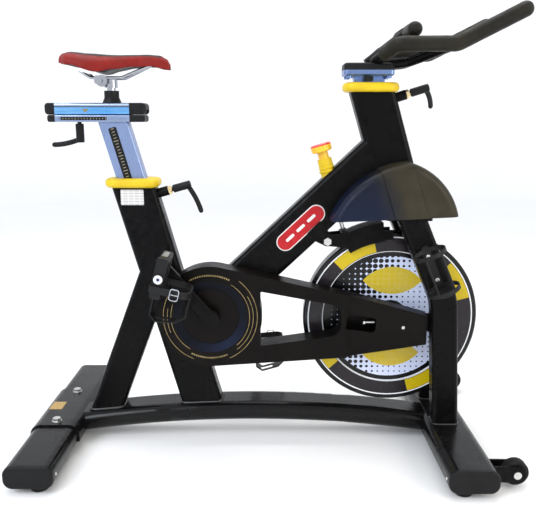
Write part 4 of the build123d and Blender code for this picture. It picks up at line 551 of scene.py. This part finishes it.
def tube_along(points, radius, sides=10, closed=False):
    """Round tube through points, with frames carried along so that it doesn't twist."""
    rows = []
    count = len(points)
    up = Vector((0, 1, 0))
    for k, point in enumerate(points):
        before = points[(k - 1) % count] if closed or k else point
        after = points[(k + 1) % count] if closed or k < count - 1 else point
        along = (after - before).normalized()
        side = along.cross(up)
        if side.length < 1e-3:
            side = along.cross(Vector((0, 0, 1)))
        side.normalize()
        up = side.cross(along).normalized()
        r = radius(k / (count - 1)) if callable(radius) else radius
        rows.append([point + (side * math.cos(a) + up * math.sin(a)) * r
                     for a in (2 * math.pi * s / sides for s in range(sides))])
    if closed:
        rows.append(rows[0])
        build = grid_surface(rows, True)
        bmesh.ops.remove_doubles(build, verts=build.verts, dist=1e-6)
        return build
    return grid_surface(rows, True, True)


def absorb(build, part):
    """Adds one bmesh to another and frees it."""
    mesh = bpy.data.meshes.new("part")
    part.to_mesh(mesh)
    part.free()
    build.from_mesh(mesh)
    bpy.data.meshes.remove(mesh)


def circle_row(centre, across, up, r, count):
    """Points of a circle in the plane of two directions."""
    return [centre + across * (r * math.cos(a)) + up * (r * math.sin(a))
            for a in (2 * math.pi * k / count for k in range(count))]


def rounded_outline(width, height, r, steps=8):
    """Corner-rounded rectangle in the plane, counter-clockwise."""
    points = []
    for cx, cy, start in ((1, 1, 0), (-1, 1, 90), (-1, -1, 180), (1, -1, 270)):
        for k in range(steps + 1):
            a = math.radians(start + 90 * k / steps)
            points.append((cx * (width / 2 - r) + r * math.cos(a), cy * (height / 2 - r) + r * math.sin(a)))
    return points


def slab(outline, origin, right, up, thickness, edge=0.0):
    """Flat plate from an outline drawn on a surface; it rises along right x up, with a soft edge."""
    normal = right.cross(up).normalized()
    centre_x = sum(p[0] for p in outline) / len(outline)
    centre_y = sum(p[1] for p in outline) / len(outline)

    def level(shrink, height):
        row = []
        for x, y in outline:
            dx, dy = x - centre_x, y - centre_y
            reach = math.hypot(dx, dy)
            scale = (reach - shrink) / reach
            flat = origin + right * (centre_x + dx * scale) + up * (centre_y + dy * scale)
            row.append(flat + normal * height)
        return row

    rows = [level(0, 0), level(0, thickness - edge), level(edge, thickness)]
    return grid_surface(rows, True, True)


RIGHT = Vector((1, 0, 0))
UP = Vector((0, 0, 1))
NEAR = Vector((0, -1, 0))


# ---- Saddle ------------------------------------------------------------------------------------
saddle_low, saddle_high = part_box("saddle")
saddle_length = saddle_high.x - saddle_low.x
SADDLE_TOP = saddle_high.z


def curve_value(keys, t):
    """Smooth value at t through (place, value) keys."""
    for (t0, v0), (t1, v1) in zip(keys, keys[1:]):
        if t <= t1:
            s = (t - t0) / (t1 - t0)
            s = s * s * (3 - 2 * s)
            return v0 + (v1 - v0) * s
    return keys[-1][1]


# Millimetres against the share of the length from the tail; heights are below the top.
HALF_WIDTH = ((0.0, 8), (0.035, 40), (0.12, 64), (0.27, 73), (0.42, 60), (0.58, 36), (0.75, 24), (0.93, 20),
              (0.985, 14), (1.0, 7))
CROWN = ((0.0, -14), (0.05, -3), (0.12, 0), (0.3, -4), (0.5, -7), (0.8, -6), (0.91, -8), (0.97, -16),
         (1.0, -28))
SKIRT = ((0.0, -28), (0.12, -34), (0.38, -52), (0.52, -44), (0.66, -38), (0.85, -36), (0.95, -42),
         (1.0, -43))


def saddle_row(t, samples):
    """Cross-section of the padded top from one lower edge over to the other."""
    x = saddle_low.x + saddle_length * t
    half = curve_value(HALF_WIDTH, t) * MM
    top = SADDLE_TOP + curve_value(CROWN, t) * MM
    low = SADDLE_TOP + curve_value(SKIRT, t) * MM
    channel_depth = 3.2 * MM * max(0.0, math.sin(math.pi * min(1, max(0, (t - 0.05) / 0.72))))
    row = []
    for k in range(samples + 1):
        a = math.pi * (k / samples) - math.pi / 2
        s = math.sin(a)
        y = half * math.copysign(abs(s) ** 0.82, s)
        fall = 1 - max(0.0, math.cos(a)) ** 0.72
        z = top + (low - top) * fall
        across = abs(y) / max(half, 1e-6)
        channel = math.exp(-(y / 0.0065) ** 2) * channel_depth
        seam = math.exp(-((across - 0.66) / 0.035) ** 2) * 1.1 * MM
        row.append(Vector((x, y, z - channel - seam)))
    return row


def make_saddle():
    """Padded cover, lofted from tail to nose and closed underneath."""
    stations = [0.5 - 0.5 * math.cos(math.pi * k / 56) for k in range(57)]
    rows = []
    for t in stations:
        row = saddle_row(t, 40)
        low = row[0].z
        for k in range(9, -1, -1):
            share = (k + 0.5) / 10 * 2 - 1
            row.append(Vector((row[0].x, row[20].y + share * abs(row[0].y) * 0.93, low + 4.5 * MM)))
        rows.append(row)
    return grid_surface(rows, True, True)


saddle = add_piece("saddle_cover", make_saddle(), MATERIALS["saddle_leather"], "seat_carriage")
saddle.data.materials.append(leather("hide_black", (0.006, 0.0055, 0.005), (0.003, 0.003, 0.003)))
for face in saddle.data.polygons:
    middle = face.center
    t = (middle.x - saddle_low.x) / saddle_length
    half = curve_value(HALF_WIDTH, min(1, max(0, t))) * MM
    across = abs(middle.y) / max(half, 1e-6)
    if across < 0.62 and face.normal.z > 0.3 and 0.04 < t < 0.93:
        face.material_index = 1
    if face.normal.z < -0.6:
        face.material_index = 1
smoother = saddle.modifiers.new("soften", "SUBSURF")
smoother.levels = 1
smoother.render_levels = 1
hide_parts("saddle")


def seam_thread(side):
    """Stitches along the seam between the top panel and the side."""
    build = bmesh.new()
    steps = 74
    for k in range(steps):
        t0 = 0.06 + 0.84 * k / steps
        t1 = t0 + 0.84 * 0.6 / steps
        ends = []
        for t in (t0, t1):
            row = saddle_row(t, 80)
            half = abs(row[0].y)
            point = min(row, key=lambda p: abs(p.y - side * 0.70 * half))
            ends.append(point + Vector((0, side * 0.0002, 0.0009)))
        crest = (ends[0] + ends[1]) / 2 + UP * 0.0004
        absorb(build, tube_along([ends[0], crest, ends[1]], 0.00055, 6))
    return build


thread = moulded("seam_thread_nylon", (0.20, 0.03, 0.02), 0.5, 0.7, 3000.0, 0.2)
for side, side_name in ((-1, "right"), (1, "left")):
    add_piece("saddle_stitches_" + side_name, seam_thread(side), thread, "seat_carriage")


# ---- Foam sleeves ------------------------------------------------------------------------------
def soft_copy(name, node, voxel, body, slot):
    """Copy of a CAD node's mesh, remeshed evenly and given the slight waviness of foam."""
    source = NODES[node]
    mesh = source.data.copy()
    piece = bpy.data.objects.new(name, mesh)
    bpy.context.scene.collection.objects.link(piece)
    bpy.context.view_layer.objects.active = piece
    remesh = piece.modifiers.new("even", "REMESH")
    remesh.mode = "VOXEL"
    remesh.voxel_size = voxel
    remesh.use_smooth_shade = True
    texture = bpy.data.textures.new(name + "_waves", "CLOUDS")
    texture.noise_scale = 0.035
    wave = piece.modifiers.new("waves", "DISPLACE")
    wave.texture = texture
    wave.texture_coords = "GLOBAL"
    wave.strength = 0.0012
    wave.mid_level = 0.5
    relax = piece.modifiers.new("relax", "SMOOTH")
    relax.iterations = 4
    relax.factor = 0.5
    graph = bpy.context.evaluated_depsgraph_get()
    final = bpy.data.meshes.new_from_object(piece.evaluated_get(graph))
    piece.modifiers.clear()
    piece.data = final
    final.materials.clear()
    final.materials.append(MATERIALS[slot])
    for face in final.polygons:
        face.use_smooth = True
    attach(piece, body)
    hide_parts(node)
    return piece


soft_copy("grip_sleeves", "handlebar_grips", 0.0022, "handlebar", "foam_grip")


# ---- Printed and stuck-on details --------------------------------------------------------------
tube_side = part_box("seat_tube")[0].y
DOWN_TUBE_SLOPE = math.radians(43.5)
down_dir = Vector((math.cos(DOWN_TUBE_SLOPE), 0, math.sin(DOWN_TUBE_SLOPE)))
down_up = Vector((-down_dir.z, 0, down_dir.x))
badge_centre = crank_centre + down_dir * 0.312 + down_up * 0.001
badge_centre.y = tube_side - 0.0003
badge_red = Paint("badge_red", (0.44, 0.008, 0.012), specular=0.3)
badge_red.tint((0.30, 0.006, 0.01), badge_red.ramp(badge_red.noise(40, 4), 0.45, 0.75) * 0.5)
badge_red.rough(badge_red.noise(60, 4), 0.18, 0.32)
badge_white = Paint("badge_white", (0.72, 0.71, 0.70), specular=0.3)
badge_white.tint((0.62, 0.60, 0.57), badge_white.ramp(badge_white.noise(60, 4), 0.45, 0.75) * 0.4)
badge_white.rough(badge_white.noise(50, 4), 0.2, 0.4)
badge_white.bump(badge_white.noise(500, 2), 0.05, 0.0002)
for name, width, height, lift, finish in (
        ("badge_edge", 0.150, 0.045, 0.0, badge_white), ("badge_field", 0.145, 0.040, 0.0005, badge_red)):
    outline = rounded_outline(width, height, height / 2 - 0.0001, 14)
    add_piece(name, slab(outline, badge_centre + NEAR * lift, down_dir, down_up, 0.0008, 0.0003),
              finish.material, "frame", False)
for k in range(3):
    stripe = rounded_outline(0.026, 0.0075, 0.0030, 5)
    place = badge_centre + NEAR * 0.0012 + down_dir * (-0.036 + 0.036 * k)
    add_piece(f"badge_bar_{k}", slab(stripe, place, down_dir, down_up, 0.0004, 0.0001),
              badge_white.material, "frame", False)

label_paper = Paint("label_paper", (0.60, 0.59, 0.58))
paper_x, _, paper_z = label_paper.coordinates()
lines = (paper_z * 150.0).fraction().below(0.25) * (paper_x * 70.0).fraction().below(0.75)
label_paper.tint((0.20, 0.20, 0.21), lines * 0.7)
label_paper.rough(label_paper.noise(60, 3), 0.4, 0.6)
label_paper.bump(label_paper.noise(300, 2), 0.05, 0.0002)
tube_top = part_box("seat_tube")[1].z
label_drop = 0.0235
label_x = seat_top.x - seat_up.x / seat_up.z * (seat_top.z - tube_top + label_drop) - 0.009
label_place = Vector((label_x, tube_side, tube_top - label_drop))
seat_side = Vector((seat_up.z, 0, -seat_up.x))
add_piece("rating_label",
          slab(rounded_outline(0.057, 0.038, 0.002, 3), label_place, RIGHT, UP, 0.0004, 0.0001),
          label_paper.material, "frame", False)

foot_label = Paint("foot_label_gold", (0.55, 0.36, 0.12), metallic=0.7)
foot_label.tint((0.2, 0.12, 0.04), foot_label.ramp(foot_label.noise(300, 4), 0.5, 0.7) * 0.6)
foot_label.rough(foot_label.noise(90, 3), 0.25, 0.45)
foot_low, foot_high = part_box("rear_foot")
_, plate_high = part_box("rear_foot_plate")
foot_label_place = Vector(((foot_low.x + foot_high.x) / 2 - 0.026, 0.0, plate_high.z))
add_piece("foot_label",
          slab(rounded_outline(0.034, 0.046, 0.002, 3), foot_label_place, RIGHT, -NEAR, 0.0005, 0.0001),
          foot_label.material, "frame", False)


def scale_strip(name, place, along, side, length, width, body, ticks):
    """Dark strip with raised tick marks, set on a metal face."""
    add_piece(name, slab(rounded_outline(width, length, width * 0.2, 3), place, side, along, 0.0006, 0.0001),
              fine_black, body, False)
    build = bmesh.new()
    for k in range(ticks):
        at = place + NEAR * 0.0006 + along * (length * (k + 0.5) / ticks - length / 2)
        tick_width = width * (0.62 if k % 5 == 0 else 0.36)
        absorb(build, slab(rounded_outline(tick_width, 0.0011, 0.0004, 2), at, side, along, 0.0002))
    add_piece(name + "_ticks", build, ink.material, body, False)


ink = Paint("tick_ink", (0.42, 0.38, 0.26))
ink.tint((0.25, 0.22, 0.15), ink.ramp(ink.noise(200, 3), 0.4, 0.7) * 0.6)
ink.rough(ink.noise(80, 3), 0.4, 0.6)
post_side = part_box("seat_post")[0].y
strip_length = 0.30
strip_middle = seat_top - seat_up * (0.012 + strip_length / 2) - seat_side * 0.006
strip_middle.y = post_side
scale_strip("post_scale", strip_middle, seat_up, seat_side, strip_length, 0.0200, "seat_post", 40)
rail_low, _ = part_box("slide_rail")
rail_scale_middle = rail_low + Vector((0.068, 0.0008, 0.0085))
scale_strip("rail_scale", rail_scale_middle, RIGHT, -UP, 0.119, 0.0086, "seat_post", 16)
marker_low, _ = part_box("saddle_carriage")
marker = [(-0.009, 0.0), (0.0, -0.0085), (0.009, 0.0)]
marker_place = marker_low + Vector((0.075, -0.0001, 0.0135))
marker_ink = Paint("marker_ink", (0.20, 0.18, 0.08))
marker_ink.tint((0.10, 0.09, 0.04), marker_ink.ramp(marker_ink.noise(300, 3), 0.4, 0.7) * 0.6)
marker_ink.rough(marker_ink.noise(80, 3), 0.4, 0.6)
add_piece("carriage_marker", slab(marker, marker_place, RIGHT, UP, 0.0003), marker_ink.material,
          "seat_carriage", False)
bar_post_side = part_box("handlebar_post")[0].y
collar_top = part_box("tube_collars")[1].z
window_place = Vector((bar_foot.x - 0.014, bar_post_side, collar_top + 0.0075))
add_piece("bar_post_window",
          slab(rounded_outline(0.022, 0.012, 0.0015, 3), window_place, RIGHT, UP, 0.0006, 0.0001),
          fine_black, "handlebar", False)


# ---- Weld beads --------------------------------------------------------------------------------
MAIN_TUBE_W, STRUT_W = 0.105, 0.080
TUBE_D, TUBE_R = 0.060, 0.014
STRUT_LEAN = math.radians(21)
STRUT_TOP_Z = 0.470
BEAM_RISE = 0.040
weld_finish = black_paint("weld_coat", 0.10, 0.2, 0.02, 0.8)


def weld_bead(name, points, radius):
    """A rippled bead that follows a closed line of points on the frame."""
    dense = []
    count = len(points)
    for k in range(count):
        near, far = points[k], points[(k + 1) % count]
        steps = max(1, round((far - near).length / 0.0022))
        dense += [near.lerp(far, s / steps) for s in range(steps)]
    total = len(dense)
    ripples = max(1, round(total / 3))

    def rippled(t):
        return radius * (1 + 0.16 * math.sin(2 * math.pi * ripples * t))

    return add_piece(name, tube_along(dense, rippled, 8, True), weld_finish, "frame", True)


def tube_section_line(centre, along, width, height):
    """Where a rounded rectangular tube meets a surface: its corner lines run on to height(point)."""
    side = Vector((along.z, 0, -along.x))
    line = []
    for px, py in rounded_outline(width, TUBE_D, TUBE_R, 6):
        start = centre + side * px + Vector((0, py, 0))
        line.append(start + along * ((height(start) - start.z) / along.z))
    return line


_, beam_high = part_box("base_beam")
foot_mid = (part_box("front_foot")[0].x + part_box("front_foot")[1].x) / 2
rear_mid = (foot_low.x + foot_high.x) / 2
beam_span = (foot_mid - rear_mid) / 2
beam_radius = (beam_span ** 2 + BEAM_RISE ** 2) / (2 * BEAM_RISE)
beam_arc_z = beam_high.z - beam_radius


def beam_top(point):
    """Height of the arched beam's top face, with its rounded shoulders."""
    centre_x = (foot_mid + rear_mid) / 2
    top = beam_arc_z + math.sqrt(beam_radius ** 2 - (point.x - centre_x) ** 2)
    over = max(0.0, abs(point.y) - 0.028)
    return top - (0.022 - math.sqrt(max(0.0, 0.022 ** 2 - over ** 2)))


seat_ray = Vector((seat_top.x, 0, seat_top.z)) - seat_up * ((seat_top.z - 0.13) / seat_up.z)
weld_bead("weld_seat_tube", tube_section_line(seat_ray, seat_up, MAIN_TUBE_W, beam_top), 0.0042)
strut_up = Vector((math.sin(STRUT_LEAN), 0, math.cos(STRUT_LEAN)))
strut_top_x = seat_top.x - seat_up.x / seat_up.z * (seat_top.z - STRUT_TOP_Z)
strut_top = Vector((strut_top_x, 0, STRUT_TOP_Z))
strut_ray = strut_top - strut_up * ((STRUT_TOP_Z - 0.12) / strut_up.z)
weld_bead("weld_rear_strut", tube_section_line(strut_ray, strut_up, STRUT_W, beam_top), 0.0042)
front_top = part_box("front_foot")[1].z
for label, node in (("right", "fork_leg_right"), ("left", "fork_leg_left")):
    low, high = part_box(node)
    leg_y = (low.y + high.y) / 2
    base = [v.co for v in NODES[node].data.vertices if v.co.z < front_top + 0.012]
    x0, x1 = min(p.x for p in base), max(p.x for p in base)
    ring = [Vector(((x0 + x1) / 2 + px, leg_y + py, front_top + 0.0005))
            for px, py in rounded_outline(x1 - x0, high.y - low.y, 0.012, 6)]
    weld_bead("weld_leg_" + label, ring, 0.0028)


# ---- Pedal furniture ---------------------------------------------------------------------------
reflector = Paint("reflector_olive", (0.045, 0.038, 0.014), roughness=0.2, coat=0.5)
reflector.tint((0.085, 0.07, 0.03), reflector.ramp(reflector.voronoi(420), 0.2, 0.6))
reflector.bump(reflector.voronoi(420), 0.4, 0.0006)
core_blue = moulded("cap_core", (0.02, 0.03, 0.10), 0.3, 0.5, 1500.0, 0.1)
nylon_white = moulded("cap_white", (0.62, 0.62, 0.66), 0.3, 0.5, 1500.0, 0.1)


PEDAL_TILT = {"right": 256, "left": 276}


def pedal_frame(side):
    """The pedal's middle, its toe direction, the direction up from its tread, and its side's name."""
    name = "right" if side < 0 else "left"
    centre, _ = joint_place(f"pedal_{name}_spin")
    tilt = math.radians(PEDAL_TILT[name])
    toe = Vector((math.cos(tilt), 0, math.sin(tilt)))
    return centre, toe, Vector((-toe.z, 0, toe.x)), name


def block_piece(centre, a, b, c, sizes, bevel):
    """Bevelled block whose edges run along three directions."""
    build = bmesh.new()
    bmesh.ops.create_cube(build, size=1.0)
    turn = Matrix((a, b, c)).transposed().to_4x4()
    scale = Matrix.Diagonal((*sizes, 1.0))
    bmesh.ops.transform(build, matrix=Matrix.Translation(centre) @ turn @ scale, verts=build.verts)
    bmesh.ops.bevel(build, geom=build.edges[:], offset=bevel, segments=3, affect="EDGES", profile=0.6)
    return build


for side in (-1, 1):
    centre, toe, tread_up, name = pedal_frame(side)
    out = Vector((0, side, 0))
    body = "pedal_" + name
    for offset in (-0.0495, 0.0495):
        add_piece(f"reflector_{name}_{'toe' if offset > 0 else 'heel'}",
                  block_piece(centre + toe * offset, toe, out, tread_up, (0.004, 0.052, 0.014), 0.0012),
                  reflector.material, body, False)
    buckle = centre + toe * 0.026 + out * 0.0525 + tread_up * 0.043
    ring = [buckle + toe * px + tread_up * py for px, py in rounded_outline(0.026, 0.020, 0.005, 5)]
    add_piece(f"buckle_{name}", tube_along(ring, 0.0015, 8, True), MATERIALS["chrome"], body, True)
    bar_ends = [buckle - tread_up * 0.010, buckle + tread_up * 0.010]
    add_piece(f"buckle_bar_{name}", tube_along(bar_ends, 0.0014, 8), MATERIALS["chrome"], body, True)
    cap = centre + out * 0.0482
    disc = [circle_row(cap + out * lift, toe, tread_up, r, 28) for r, lift in
            ((0.0105, 0.0), (0.0105, 0.0018), (0.0092, 0.0026), (0.0045, 0.0022), (0.0035, 0.0008))]
    add_piece(f"pedal_cap_{name}", grid_surface(disc, True, True), nylon_white, body, True)
    core = [circle_row(cap + out * lift, toe, tread_up, r, 20) for r, lift in
            ((0.0036, 0.0006), (0.0036, 0.0018), (0.0028, 0.0022))]
    add_piece(f"pedal_cap_core_{name}", grid_surface(core, True, True), core_blue, body, True)


# ---- Floor, light and camera -------------------------------------------------------------------
floor_finish = Paint("studio_floor", (0.90, 0.90, 0.895), roughness=0.7, specular=0.1)
floor_finish.tint((0.88, 0.88, 0.875), floor_finish.ramp(floor_finish.noise(1.5, 3), 0.4, 0.7))
floor_finish.bump(floor_finish.noise(300, 2), 0.02, 0.0003)
floor_finish.shader.inputs["Emission Color"].default_value = (0.93, 0.95, 1.0, 1)
floor_x, floor_y, _ = floor_finish.coordinates()
glow = floor_finish.ramp(floor_x.size(floor_y), 2.5, 9.0, 0.0, 0.20)
floor_finish.link(glow.socket, floor_finish.shader.inputs["Emission Strength"])
FLOOR_R = 6.0
BEND_R = 4.0
profile = [(0.0002, 0.0), (2.0, 0.0), (FLOOR_R, 0.0)]
for bend in range(6, 91, 6):
    angle = math.radians(bend)
    profile.append((FLOOR_R + BEND_R * math.sin(angle), BEND_R - BEND_R * math.cos(angle)))
profile.append((FLOOR_R + BEND_R, 7.0))
FLOOR_DROP = 0.0005
backdrop = grid_surface([circle_row(UP * (z - FLOOR_DROP), RIGHT, -NEAR, r, 96) for r, z in profile], True)
floor_mesh = bpy.data.meshes.new("studio_floor")
backdrop.to_mesh(floor_mesh)
backdrop.free()
floor_mesh.materials.append(floor_finish.material)
for face in floor_mesh.polygons:
    face.use_smooth = True
floor = bpy.data.objects.new("studio_floor", floor_mesh)
bpy.context.scene.collection.objects.link(floor)

world = bpy.data.worlds.new("studio")
bpy.context.scene.world = world
world.use_nodes = True
world.node_tree.nodes["Background"].inputs[0].default_value = (0.93, 0.95, 1.0, 1)
world.node_tree.nodes["Background"].inputs[1].default_value = 0.9


def softbox(name, place, aim, width, height, power, colour):
    data = bpy.data.lights.new(name, "AREA")
    data.shape = "RECTANGLE"
    data.size = width
    data.size_y = height
    data.energy = power
    data.color = colour
    lamp = bpy.data.objects.new(name, data)
    lamp.location = place
    lamp.rotation_euler = (Vector(aim) - Vector(place)).to_track_quat("-Z", "Y").to_euler()
    bpy.context.scene.collection.objects.link(lamp)
    return lamp


softbox("key", (-1.9, -2.2, 2.4), (0, 0, 0.5), 1.6, 1.6, 65, (0.86, 0.92, 1.0))
softbox("fill", (2.4, -1.8, 1.5), (0.1, 0, 0.5), 1.4, 1.8, 38, (1.0, 0.93, 0.82))
softbox("top", (0.0, 0.4, 3.0), (0, 0, 0), 2.4, 1.6, 45, (1.0, 0.99, 0.97))

camera_data = bpy.data.cameras.new("camera")
camera_data.lens = 43.66
camera_data.sensor_width = 36
camera = bpy.data.objects.new("camera", camera_data)
CAMERA_PITCH = 11.83
camera.location = (crank_centre.x + 0.1437, -1.640, 0.838)
camera.rotation_euler = (math.radians(90 - CAMERA_PITCH), 0, 0)
bpy.context.scene.collection.objects.link(camera)
bpy.context.scene.camera = camera
bpy.context.scene.view_settings.view_transform = "Standard"
